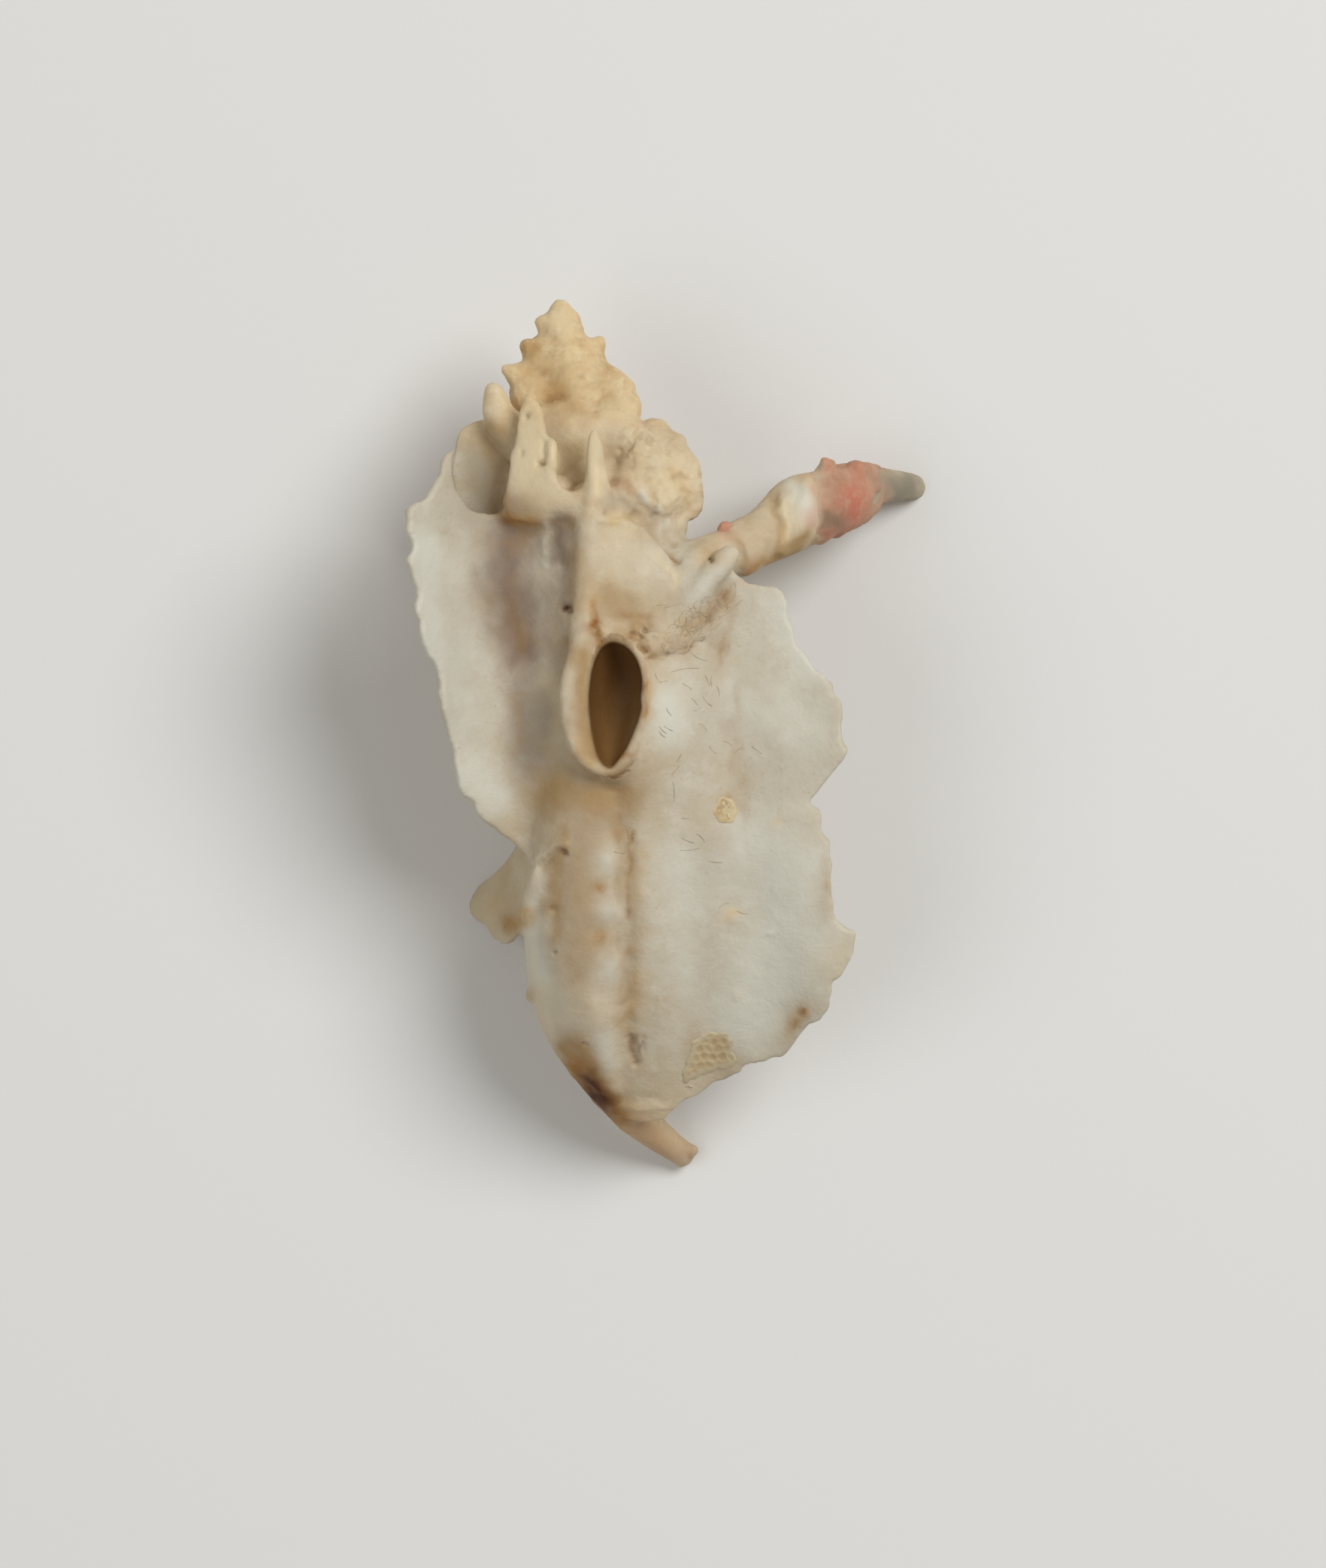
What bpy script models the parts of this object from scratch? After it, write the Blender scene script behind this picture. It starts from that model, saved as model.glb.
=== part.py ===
# A small three-winged murex shell, lying on its dorsal wing, spine tip and canal tip.
# Frame: +Y along the shell toward the apex, +Z up from the floor, the aperture facing up,
# origin under the middle of the bounding box. Dimensions below are in millimetres.

import math

import bmesh
import bpy
from mathutils import Matrix, Vector, noise

MM = 0.001                # metres in one design unit

# Driving dimensions
APEX = Vector((-4.4, 17.3, 6.2))       # tip of the spire
BODY = Vector((-2.5, 4.1, 7.5))        # middle of the body whorl, on the shell's axis
TURNS = 5.5                            # whorls from apex to lip
GROWTH = 1.6                           # size gained in one turn
BODY_WIDTH = 3.0                       # outer radius of the body whorl
TAPER = 0.5                            # spire width grows with depth to this power
WHORL_HEIGHT = 0.25                    # half height of a whorl, per depth below the apex
LIP_ANGLE = math.radians(70)           # where the last whorl ends, from +X toward +Z

WING = 0.5                             # wing thickness at its edge
WING_ROOT = 1.5                        # and where it leaves the body
WING_LEVEL = 9.5                       # height of the right wing's flat part
VALLEY_LEVEL = 8.7                     # floor of the hollow in the left wing
DORSAL_AXIS = Vector((-3.0, 0.0, 7.6)) # line that the dorsal wing springs from

RIM_LEVEL = 11.3                       # crest of the aperture's rim
POCKET_DEPTH = 4.2                     # depth of the aperture

# The long shoulder spine: x, y, z and radius. It runs down to the floor, slimmer under the crust.
SPINE = [(-0.8, 5.6, 8.4, 1.2), (0.3, 6.5, 8.5, 1.05), (1.6, 6.95, 8.1, 1.02), (2.6, 7.28, 7.5, 1.1),
         (3.6, 7.75, 6.8, 1.2), (4.5, 8.3, 6.1, 1.33), (5.1, 8.8, 5.5, 1.4), (5.6, 9.1, 5.0, 1.28),
         (6.0, 9.35, 4.6, 0.92), (7.2, 9.65, 3.4, 0.85), (8.0, 9.97, 2.6, 0.75), (8.7, 10.05, 1.9, 0.68),
         (9.4, 10.03, 1.0, 0.62), (9.85, 10.0, 0.4, 0.55)]
CRUST_FROM, CRUST_TO = 6.0, 8.3        # stretch of the spine, in x, that the red crust covers
CRUST_THICKNESS = 0.3

GAP = 0.15                             # clearance under what grows on the shell
VOXEL = 0.15                           # grain of the joined surface
SHELL_TRIANGLES = 7600
FOOT_CUT = 0.0                         # the feet are flat at this height


# ---------------------------------------------------------------- basic forms

def smooth_path(stations, steps):
    # Catmull-Rom curve through the stations, of any number of values each
    path = []
    last = len(stations) - 1
    for i in range(last):
        before, a = Vector(stations[max(i - 1, 0)]), Vector(stations[i])
        b, after = Vector(stations[i + 1]), Vector(stations[min(i + 2, last)])
        for k in range(steps):
            t = k / steps
            path.append(0.5 * (2 * a + (b - before) * t
                               + (2 * before - 5 * a + 4 * b - after) * t ** 2
                               + (3 * a - before - 3 * b + after) * t ** 3))
    path.append(Vector(stations[last]))
    return path


def skin(bm, rings, sides=16):
    # closed body through circles placed by the matrices in rings
    previous = None
    for matrix in rings:
        ends = matrix is rings[0] or matrix is rings[-1]
        made = bmesh.ops.create_circle(bm, cap_ends=ends, segments=sides, radius=1.0, matrix=matrix)
        loop = list({edge for vert in made["verts"] for edge in vert.link_edges if edge.is_boundary
                     or not edge.link_faces})
        if previous:
            bmesh.ops.bridge_loops(bm, edges=previous + loop)
        previous = loop


def tube(bm, stations, steps=4, sides=14, closed=False):
    # round tube through stations of x, y, z and radius; ends rounded off
    path = smooth_path(stations, steps)
    rings = []
    for i, point in enumerate(path):
        ahead = path[min(i + 1, len(path) - 1)].xyz - path[max(i - 1, 0)].xyz
        turn = ahead.to_track_quat("Z", "Y").to_matrix().to_4x4()
        rings.append(Matrix.Translation(point.xyz) @ turn @ Matrix.Scale(point.w, 4))
    skin(bm, rings, sides)
    if not closed:
        for end in (path[0], path[-1]):
            ball(bm, end.xyz, (end.w, end.w, end.w), detail=2)


def ball(bm, centre, size, detail=3, lumps=0.0, grain=1.0):
    # ellipsoid whose surface is pushed in and out by up to lumps
    made = bmesh.ops.create_icosphere(bm, subdivisions=detail, radius=1.0)
    for vert in made["verts"]:
        way = vert.co.normalized()
        place = Vector(centre) + Vector(a * b for a, b in zip(way, size))
        vert.co = place + way * lumps * noise.noise(place / grain)


def sheet(bm, outline, surface, thickness, cell=0.7):
    # plate with a flat outline in (u, v), laid on surface(u, v), with its own thickness(u, v)
    flat = bmesh.new()
    flat.faces.new([flat.verts.new((u, v, 0.0)) for u, v in outline])
    for axis in (0, 1):
        values = [point[axis] for point in outline]
        normal = Vector((1 - axis, axis, 0))
        cuts = math.ceil((max(values) - min(values)) / cell)
        for k in range(1, cuts):
            where = min(values) + k * (max(values) - min(values)) / cuts
            everything = flat.verts[:] + flat.edges[:] + flat.faces[:]
            bmesh.ops.bisect_plane(flat, geom=everything, dist=1e-4, plane_co=normal * where, plane_no=normal)
    bmesh.ops.triangulate(flat, faces=flat.faces[:])
    extruded = bmesh.ops.extrude_face_region(flat, geom=flat.faces[:])["geom"]
    back = {item for item in extruded if isinstance(item, bmesh.types.BMVert)}
    step = 0.05
    for vert in flat.verts:
        u, v = vert.co.x, vert.co.y
        point = surface(u, v)
        normal = (surface(u + step, v) - point).cross(surface(u, v + step) - point).normalized()
        vert.co = point + normal * thickness(u, v) * (-0.5 if vert in back else 0.5)
    bmesh.ops.recalc_face_normals(flat, faces=flat.faces[:])
    plate = bpy.data.meshes.new("plate")
    flat.to_mesh(plate)
    flat.free()
    bm.from_mesh(plate)
    bpy.data.meshes.remove(plate)


def ramp(value, low, high):
    # 0 below low, 1 above high, eased between them
    t = min(max((value - low) / (high - low), 0.0), 1.0)
    return t * t * (3 - 2 * t)


# ------------------------------------------------------------- parts of the shell

def add_whorls(bm):
    # one tube wound on the axis, growing by GROWTH each turn
    axis = (APEX - BODY).normalized()
    side = (Vector((1, 0, 0)) - axis * axis.x).normalized()
    front = side.cross(axis)
    rings = []
    per_turn = 20
    count = int(TURNS * per_turn)
    for k in range(count + 1):
        turn = (k - count) / per_turn
        scale = GROWTH ** turn
        angle = LIP_ANGLE + turn * 2 * math.pi
        radial = side * math.cos(angle) + front * math.sin(angle)
        width = BODY_WIDTH * scale ** TAPER
        depth = (APEX - BODY).length * scale
        centre = APEX - axis * depth + radial * width * 0.4
        ring = Matrix.Identity(4)
        ring.col[0] = (*(radial * width * 0.6), 0)
        ring.col[1] = (*(axis * depth * WHORL_HEIGHT), 0)
        ring.col[2] = (*axis.cross(radial), 0)
        ring.col[3] = (*centre, 1)
        rings.append(ring)
    skin(bm, rings, 18)
    ball(bm, APEX - axis * 0.35, (0.42, 0.45, 0.42))


def add_base_and_canal(bm):
    # full shoulder of the body whorl above the aperture
    ball(bm, (-1.5, 6.0, 8.5), (2.0, 2.6, 2.0))
    # the body tapers into the canal, which bends back to the floor and ends broken
    tube(bm, [(-2.5, 4.4, 7.5, 2.7), (-2.7, 1.5, 7.6, 2.6), (-3.0, -1.5, 7.8, 2.3), (-3.4, -4.5, 7.9, 2.0),
              (-3.5, -8.0, 7.6, 1.8), (-3.2, -11.0, 6.6, 1.5), (-2.5, -13.3, 5.0, 1.1),
              (-1.55, -15.2, 3.0, 0.8), (-0.4, -16.3, 1.5, 0.65), (0.65, -16.92, 0.4, 0.55)])
    # bright shoulder on the canal's left, where the dorsal wing leaves it
    tube(bm, [(-4.6, -1.0, 7.9, 1.3), (-5.0, -4.5, 7.8, 1.0), (-5.3, -8.0, 7.3, 0.75),
              (-5.15, -10.4, 6.4, 0.65), (-4.2, -12.6, 5.2, 0.55), (-3.0, -14.3, 4.2, 0.5)])
    for x, y, z in ((-2.6, -5.3, 9.4), (-2.6, -7.2, 9.1), (-2.5, -9.2, 8.5), (-2.3, -12.0, 6.9)):
        ball(bm, (x, y, z), (0.6, 0.75, 0.5), detail=2)


def right_wing_surface(x, y):
    # nearly level, a little hollow, bending back to follow the canal
    hollow = 0.5 * math.sin(math.pi * ramp(x, -1.0, 7.0))
    bend = 0.036 * max(0.0, -3.5 - y) ** 2
    tilt = 0.04 * (x - 1.0)
    folds = 0.12 * math.sin(1.9 * x + 0.35 * y)
    beside_lip = 1.3 * math.exp(-((x + 1.0) / 2.3) ** 2 - ((y - 1.0) / 3.6) ** 2)
    return Vector((x, y, WING_LEVEL - hollow - bend + tilt + folds + beside_lip))


def right_wing_thickness(x, y):
    return WING + (WING_ROOT - WING) * (1 - ramp(x, -1.0, 2.5))


def add_right_wing(bm):
    outline = [(0.0, 5.8), (1.6, 6.7), (2.6, 6.4), (3.15, 6.0), (4.3, 5.85), (4.75, 5.2), (4.75, 4.5),
               (5.05, 3.6), (5.6, 2.9), (6.3, 2.1), (6.85, 1.35), (6.9, -0.4), (7.15, -0.7), (6.5, -1.6),
               (5.55, -2.75), (6.05, -3.05), (6.0, -3.75), (6.4, -4.3), (6.5, -6.6), (6.65, -7.4),
               (7.4, -7.8), (7.4, -8.6), (6.8, -9.75), (6.45, -9.85), (6.55, -10.3), (6.1, -11.45),
               (5.6, -11.6), (4.9, -12.6), (3.9, -13.05), (3.0, -13.3), (1.7, -13.95), (0.5, -14.5),
               (-0.5, -15.2), (-1.7, -15.0), (-2.3, -13.0), (-2.4, -9.0), (-2.2, -4.0), (-1.6, 0.0), (-1.2, 4.0)]
    sheet(bm, outline, right_wing_surface, right_wing_thickness)


def left_wing_surface(x, y):
    # a trough: rises to the left edge and to the column beside the aperture
    outward = max(0.0, -6.0 - x)
    inward = max(0.0, x + 6.0)
    level = VALLEY_LEVEL + 0.15 * outward ** 2 + 0.6 * inward ** 2 / (inward + 1.0)
    return Vector((x, y, level - 0.02 * (y - 3.0) ** 2 * ramp(-y, -3.0, 6.0)))


def left_wing_thickness(x, y):
    return WING + (WING_ROOT - WING) * ramp(x, -7.5, -5.0)


def add_left_wing(bm):
    outline = [(-8.55, 11.4), (-9.05, 10.9), (-9.3, 10.1), (-9.75, 9.3), (-10.35, 8.95), (-10.42, 8.1),
               (-10.15, 7.5), (-10.37, 6.95), (-10.2, 6.1), (-9.97, 5.4), (-10.1, 5.1), (-9.85, 4.4),
               (-9.8, 3.5), (-9.2, 2.3), (-9.0, 0.8), (-8.6, -0.8), (-8.3, -2.5), (-7.75, -2.9),
               (-7.3, -3.6), (-6.4, -4.25), (-5.6, -4.75), (-5.3, -5.15), (-4.2, -4.4), (-3.6, -2.0),
               (-3.4, 3.0), (-3.4, 9.0), (-4.6, 9.2), (-6.5, 8.95), (-7.3, 8.75), (-7.9, 8.9),
               (-8.3, 9.3), (-8.6, 9.8), (-8.7, 10.3)]
    sheet(bm, outline, left_wing_surface, left_wing_thickness)


def dorsal_wing_surface(y, reach):
    # stands on the floor below the shell and leans left toward the canal
    lean = math.radians(12 + 19 * ramp(-y, -2.0, 7.0))
    across = Vector((-math.sin(lean), 0, -math.cos(lean)))
    wave = 0.25 * math.sin(1.1 * y) * ramp(reach, 3.0, 8.0)
    return DORSAL_AXIS + Vector((wave, y, 0)) + across * reach


def dorsal_wing_thickness(y, reach):
    return WING + (WING_ROOT - WING) * (1 - ramp(reach, 2.0, 5.0))


def add_dorsal_wing(bm):
    outline = [(9.6, 1.5), (10.4, 3.4), (9.6, 5.0), (8.7, 5.6), (7.6, 7.0), (5.8, 7.7), (4.6, 8.1),
               (2.6, 8.1), (1.4, 7.6), (0.2, 7.3), (-1.4, 7.6), (-3.0, 7.4), (-4.4, 7.1), (-5.2, 7.4),
               (-5.8, 8.2), (-6.2, 8.9), (-6.6, 9.1), (-7.3, 9.0), (-7.6, 8.6), (-7.8, 8.0),
               (-8.2, 7.6), (-8.4, 6.9), (-8.3, 6.2), (-8.0, 5.7), (-8.6, 4.4), (-9.8, 3.2), (-9.8, 1.5)]
    sheet(bm, outline, dorsal_wing_surface, dorsal_wing_thickness)


def add_spine_and_tube(bm):
    tube(bm, SPINE)
    tube(bm, [(0.2, 4.2, 9.8, 0.6), (0.9, 5.1, 10.1, 0.6), (1.7, 6.2, 10.2, 0.55), (2.3, 6.95, 10.2, 0.5)])


def add_aperture_rim(bm):
    # lip around the aperture: thick on the left, thin on the right
    lip = [(-2.3, 4.0, 0.35), (-3.1, 3.7, 0.45), (-3.55, 2.95, 0.52), (-3.8, 2.0, 0.6), (-3.8, 0.8, 0.63),
           (-3.6, -0.3, 0.55), (-3.15, -1.1, 0.42), (-2.45, -1.7, 0.32), (-1.75, -1.15, 0.3),
           (-1.25, -0.4, 0.3), (-0.95, 0.5, 0.28), (-0.85, 1.5, 0.28), (-0.85, 2.4, 0.28),
           (-1.15, 3.2, 0.32), (-1.65, 3.75, 0.35), (-2.3, 4.0, 0.35)]
    tube(bm, [(x, y, RIM_LEVEL - radius, radius) for x, y, radius in lip], steps=3, closed=True)
    ball(bm, (-2.4, 1.2, RIM_LEVEL - 2.2), (1.95, 3.3, 2.0))


def aperture_cutter():
    # the bore: a pointed oval that narrows and turns into the whorl
    mouth = [(-2.3, 3.65), (-1.8, 3.5), (-1.4, 3.1), (-1.15, 2.5), (-1.08, 1.8), (-1.1, 1.0), (-1.3, 0.3),
             (-1.7, -0.6), (-2.1, -1.2), (-2.4, -1.45), (-2.8, -1.1), (-3.05, -0.3), (-3.18, 0.7),
             (-3.2, 1.7), (-3.05, 2.7), (-2.7, 3.4)]
    centre = Vector((-2.15, 1.1, 0))
    bm = bmesh.new()
    previous = None
    for part in (-0.25, 0.0, 0.35, 0.7, 0.9, 1.0):
        size = 1.0 - 0.75 * ramp(part, 0.0, 1.2)
        shift = Vector((0.5, 0.7, 0)) * part ** 2
        level = RIM_LEVEL - POCKET_DEPTH * part
        ring = []
        for x, y in mouth:
            place = centre + (Vector((x, y, 0)) - centre) * size + shift
            ring.append(bm.verts.new((place.x, place.y, level)))
        if previous:
            for i, vert in enumerate(ring):
                bm.faces.new((previous[i - 1], previous[i], vert, ring[i - 1]))
        else:
            bm.faces.new(ring)
        previous = ring
    bm.faces.new(previous)
    return new_object("aperture_bore", bm, None)


def add_broken_shoulder(bm):
    # the left varix's broken shoulder: a wall with prongs and a deep round notch
    outline = [(-6.4, 8.7), (-6.5, 9.3), (-6.3, 10.5), (-6.25, 11.2), (-6.0, 11.7), (-5.9, 12.9), (-5.55, 13.75),
               (-5.3, 13.4), (-5.1, 13.0), (-4.55, 12.7), (-4.45, 11.75), (-4.4, 10.5), (-4.1, 10.0),
               (-3.85, 9.8), (-3.6, 9.95), (-3.4, 10.4), (-3.3, 11.6), (-3.05, 12.2), (-2.8, 11.8),
               (-2.55, 10.8), (-2.3, 9.8), (-2.2, 8.6), (-3.2, 8.0), (-5.0, 8.2)]
    sheet(bm, outline, lambda x, y: Vector((x, y, 10.2 - 0.09 * (x + 3.6) ** 2 - 0.12 * (y - 10))),
          lambda x, y: 0.6)
    # column from the right prong down to the aperture
    tube(bm, [(-3.0, 11.2, 10.0, 0.35), (-3.0, 9.6, 10.2, 0.5), (-3.35, 8.0, 10.3, 0.6),
              (-3.55, 6.3, 10.5, 0.6), (-3.65, 4.6, 10.6, 0.6), (-3.6, 3.2, 10.7, 0.6)])
    # fillet that carries the wall on the whorl behind it
    ball(bm, (-4.6, 8.9, 8.9), (2.0, 1.2, 1.2))


def add_spire_growths(bm):
    # worn remains of earlier varices: left lobes, right crusts and points, and points on the back
    tube(bm, [(-5.0, 11.0, 7.6, 1.0), (-6.3, 12.1, 8.0, 0.8), (-6.85, 12.9, 8.1, 0.66), (-7.02, 13.7, 8.0, 0.48)])
    lobe = [(-6.2, 12.7), (-7.4, 12.5), (-8.3, 12.15), (-8.55, 11.5), (-8.75, 10.4), (-8.4, 9.2), (-7.4, 8.5),
            (-5.0, 8.0), (-4.0, 9.0), (-4.5, 12.0)]
    sheet(bm, lobe, lambda x, y: Vector((x, y, 7.4 + 0.1 * (x + 8))), lambda x, y: 0.6)
    points = [((-4.6, 13.9, 6.6, 0.8), (-6.1, 14.4, 7.0, 0.6), (-6.55, 14.6, 7.1, 0.34)),
              ((-4.6, 15.1, 6.4, 0.8), (-5.3, 15.35, 6.6, 0.6), (-5.65, 15.45, 6.7, 0.42)),
              ((-4.5, 16.1, 6.3, 0.6), (-4.9, 16.3, 6.4, 0.5), (-5.2, 16.4, 6.4, 0.32)),
              ((-3.8, 15.3, 6.5, 0.6), (-3.0, 15.45, 6.6, 0.45), (-2.8, 15.65, 6.6, 0.36)),
              ((-4.2, 15.2, 5.8, 0.5), (-4.3, 15.6, 5.0, 0.3), (-4.3, 15.8, 4.7, 0.2)),
              ((-3.9, 13.2, 5.6, 0.7), (-4.1, 13.9, 4.4, 0.4), (-4.2, 14.2, 3.9, 0.25)),
              ((-3.6, 10.6, 5.6, 0.9), (-3.9, 11.6, 3.9, 0.55), (-4.1, 12.2, 3.0, 0.3))]
    for stations in points:
        tube(bm, stations)
    crusts = [(-2.5, 14.0, 7.0, 0.8), (-2.05, 13.6, 7.1, 0.8), (-1.95, 13.0, 7.3, 0.85), (-2.6, 12.7, 7.6, 0.9),
              (-0.65, 11.9, 7.4, 0.75), (0.0, 11.35, 7.6, 0.8), (0.45, 10.5, 7.8, 0.85), (0.6, 9.8, 7.9, 0.75),
              (-1.3, 11.2, 8.0, 1.0), (-0.7, 10.5, 8.2, 1.0), (-0.4, 9.4, 8.4, 1.0), (-1.5, 9.8, 8.4, 1.0),
              (0.15, 8.3, 8.0, 0.6), (0.3, 7.6, 8.0, 0.5), (-4.2, 14.6, 6.6, 1.25), (-3.9, 13.4, 7.0, 1.3),
              (-5.4, 13.6, 7.0, 1.0), (-0.5, 8.7, 8.1, 1.0), (-4.35, 16.3, 6.3, 0.8), (0.7, 9.2, 7.7, 0.7),
              (-1.9, 11.8, 7.9, 1.0), (-3.0, 11.6, 7.6, 1.2)]
    for x, y, z, radius in crusts:
        ball(bm, (x, y, z), (radius, radius, radius * 0.9), lumps=0.25, grain=0.6)


# ------------------------------------------------------------- what grew on the shell

def above_right_wing(x, y, thickness):
    # middle of a thin body that lies on the right wing's upper face, clear of it by GAP
    step = 0.05
    point = right_wing_surface(x, y)
    normal = (right_wing_surface(x + step, y) - point).cross(right_wing_surface(x, y + step) - point)
    return point + normal.normalized() * (0.5 * right_wing_thickness(x, y) + GAP + 0.5 * thickness)


def make_sea_mat():
    thickness = 0.22
    outline = [(2.2, -11.9), (2.65, -12.3), (2.7, -12.8), (2.3, -13.25), (1.6, -13.7), (0.95, -13.95),
               (0.6, -13.75), (0.6, -13.2), (0.9, -12.6), (1.5, -12.1)]
    bm = bmesh.new()
    sheet(bm, outline, lambda x, y: above_right_wing(x, y, thickness), lambda x, y: thickness, cell=0.5)
    return new_object("sea_mat", bm, material("sea_mat", (0.62, 0.5, 0.34), 0.8))


def make_base_disc():
    thickness, radius, sides = 0.3, 0.5, 16
    turns = [2 * math.pi * k / sides for k in range(sides)]
    outline = [(2.25 + radius * math.cos(a), -3.1 + radius * math.sin(a)) for a in turns]
    bm = bmesh.new()
    sheet(bm, outline, lambda x, y: above_right_wing(x, y, thickness), lambda x, y: thickness, cell=0.4)
    return new_object("base_disc", bm, material("base_disc", (0.7, 0.6, 0.44), 0.7))


def crust_part(grow, reach):
    # body of revolution about the spine, as wide as the spine plus grow(part of the way)
    stretch = (CRUST_FROM - reach, CRUST_TO + reach)
    path = [point for point in smooth_path(SPINE, 6) if stretch[0] <= point.x <= stretch[1]]
    rings = []
    for i, point in enumerate(path):
        ahead = path[min(i + 1, len(path) - 1)].xyz - path[max(i - 1, 0)].xyz
        turn = ahead.to_track_quat("Z", "Y").to_matrix().to_4x4()
        size = point.w + GAP + grow((i + 1) / (len(path) + 1))
        rings.append(Matrix.Translation(point.xyz) @ turn @ Matrix.Scale(size, 4))
    bm = bmesh.new()
    skin(bm, rings, 20)
    return bm


def make_red_crust():
    bm = crust_part(lambda part: CRUST_THICKNESS * math.sin(math.pi * part) ** 0.4, 0.0)
    for vert in bm.verts:
        vert.co.z += 0.12 * noise.noise(vert.co / 0.7)
        vert.co.y += 0.12 * noise.noise(vert.co / 0.6 + Vector((9, 0, 0)))
    crust = new_object("red_crust", bm, material("red_crust", (0.75, 0.33, 0.24), 0.65))
    bore = new_object("crust_bore", crust_part(lambda part: 0.0, 0.25), None)
    cut = crust.modifiers.new("bore", "BOOLEAN")
    cut.object = bore
    cut.operation = "DIFFERENCE"
    apply_modifiers(crust)
    bpy.data.objects.remove(bore)


def make_red_bead():
    bm = bmesh.new()
    ball(bm, (2.1, 8.5, 8.1), (0.3, 0.2, 0.3), detail=2, lumps=0.05, grain=0.3)
    return new_object("red_bead", bm, material("red_bead", (0.75, 0.36, 0.27), 0.6))


# ---------------------------------------------------------------- joining and finishing

def new_object(name, bm, material):
    bmesh.ops.recalc_face_normals(bm, faces=bm.faces[:])
    mesh = bpy.data.meshes.new(name)
    bm.to_mesh(mesh)
    bm.free()
    thing = bpy.data.objects.new(name, mesh)
    bpy.context.scene.collection.objects.link(thing)
    if material:
        mesh.materials.append(material)
    return thing


def apply_modifiers(thing):
    seen = thing.evaluated_get(bpy.context.evaluated_depsgraph_get())
    mesh = bpy.data.meshes.new_from_object(seen)
    thing.modifiers.clear()
    thing.data = mesh


def keep_largest_body(thing):
    # drops sealed pockets and stray crumbs left where the forms overlap
    bm = bmesh.new()
    bm.from_mesh(thing.data)
    left = set(bm.faces)
    bodies = []
    while left:
        seed = left.pop()
        body, edge_of = {seed}, [seed]
        while edge_of:
            for edge in edge_of.pop().edges:
                for face in edge.link_faces:
                    if face in left:
                        left.discard(face)
                        body.add(face)
                        edge_of.append(face)
        bodies.append(body)
    bodies.sort(key=len)
    waste = [face for body in bodies[:-1] for face in body]
    bmesh.ops.delete(bm, geom=waste, context="FACES")
    bm.to_mesh(thing.data)
    bm.free()


def make_shell():
    bm = bmesh.new()
    add_whorls(bm)
    add_base_and_canal(bm)
    add_right_wing(bm)
    add_left_wing(bm)
    add_dorsal_wing(bm)
    add_spine_and_tube(bm)
    add_aperture_rim(bm)
    add_broken_shoulder(bm)
    add_spire_growths(bm)
    shell = new_object("shell", bm, None)

    join = shell.modifiers.new("join", "REMESH")
    join.mode = "VOXEL"
    join.voxel_size = VOXEL
    soften = shell.modifiers.new("soften", "SMOOTH")
    soften.factor = 0.5
    soften.iterations = 2
    apply_modifiers(shell)
    keep_largest_body(shell)

    thin = shell.modifiers.new("thin", "DECIMATE")
    thin.ratio = SHELL_TRIANGLES / (2 * len(shell.data.polygons))
    apply_modifiers(shell)

    bore = aperture_cutter()
    cut = shell.modifiers.new("aperture", "BOOLEAN")
    cut.object = bore
    cut.operation = "DIFFERENCE"
    apply_modifiers(shell)
    bpy.data.objects.remove(bore)

    trim_feet(shell)
    keep_largest_body(shell)
    shell.data.materials.clear()
    shell.data.materials.append(material("shell_aragonite", (0.66, 0.58, 0.46), 0.5))


def trim_feet(thing):
    # whatever reaches below the floor is cut off flat
    bm = bmesh.new()
    bm.from_mesh(thing.data)
    everything = bm.verts[:] + bm.edges[:] + bm.faces[:]
    cut = bmesh.ops.bisect_plane(bm, geom=everything, dist=1e-4, plane_co=(0, 0, FOOT_CUT),
                                 plane_no=(0, 0, 1), clear_inner=True)
    edges = [item for item in cut["geom_cut"] if isinstance(item, bmesh.types.BMEdge)]
    bmesh.ops.holes_fill(bm, edges=edges)
    bmesh.ops.triangulate(bm, faces=bm.faces[:])
    bm.to_mesh(thing.data)
    bm.free()


def settle_in_frame():
    # to metres, with the origin under the middle of the whole
    things = list(bpy.data.objects)
    corners = [vert.co for thing in things for vert in thing.data.vertices]
    middle = [(min(c[axis] for c in corners) + max(c[axis] for c in corners)) / 2 for axis in (0, 1)]
    for thing in things:
        thing.data.transform(Matrix.Scale(MM, 4) @ Matrix.Translation((-middle[0], -middle[1], 0)))
        thing.data.shade_smooth()


# ---------------------------------------------------------------- materials

def material(name, colour, roughness):
    made = bpy.data.materials.new(name)
    made.use_nodes = True
    shader = made.node_tree.nodes["Principled BSDF"]
    shader.inputs["Base Color"].default_value = (*colour, 1.0)
    shader.inputs["Roughness"].default_value = roughness
    shader.inputs["Metallic"].default_value = 0.0
    return made


def main():
    for thing in list(bpy.data.objects):
        bpy.data.objects.remove(thing)
    make_shell()
    make_red_crust()
    make_red_bead()
    make_sea_mat()
    make_base_disc()
    settle_in_frame()


main()
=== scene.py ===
import math

import bmesh
import bpy
import numpy as np
from mathutils import Matrix, Vector, noise
from mathutils.bvhtree import BVHTree


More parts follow.
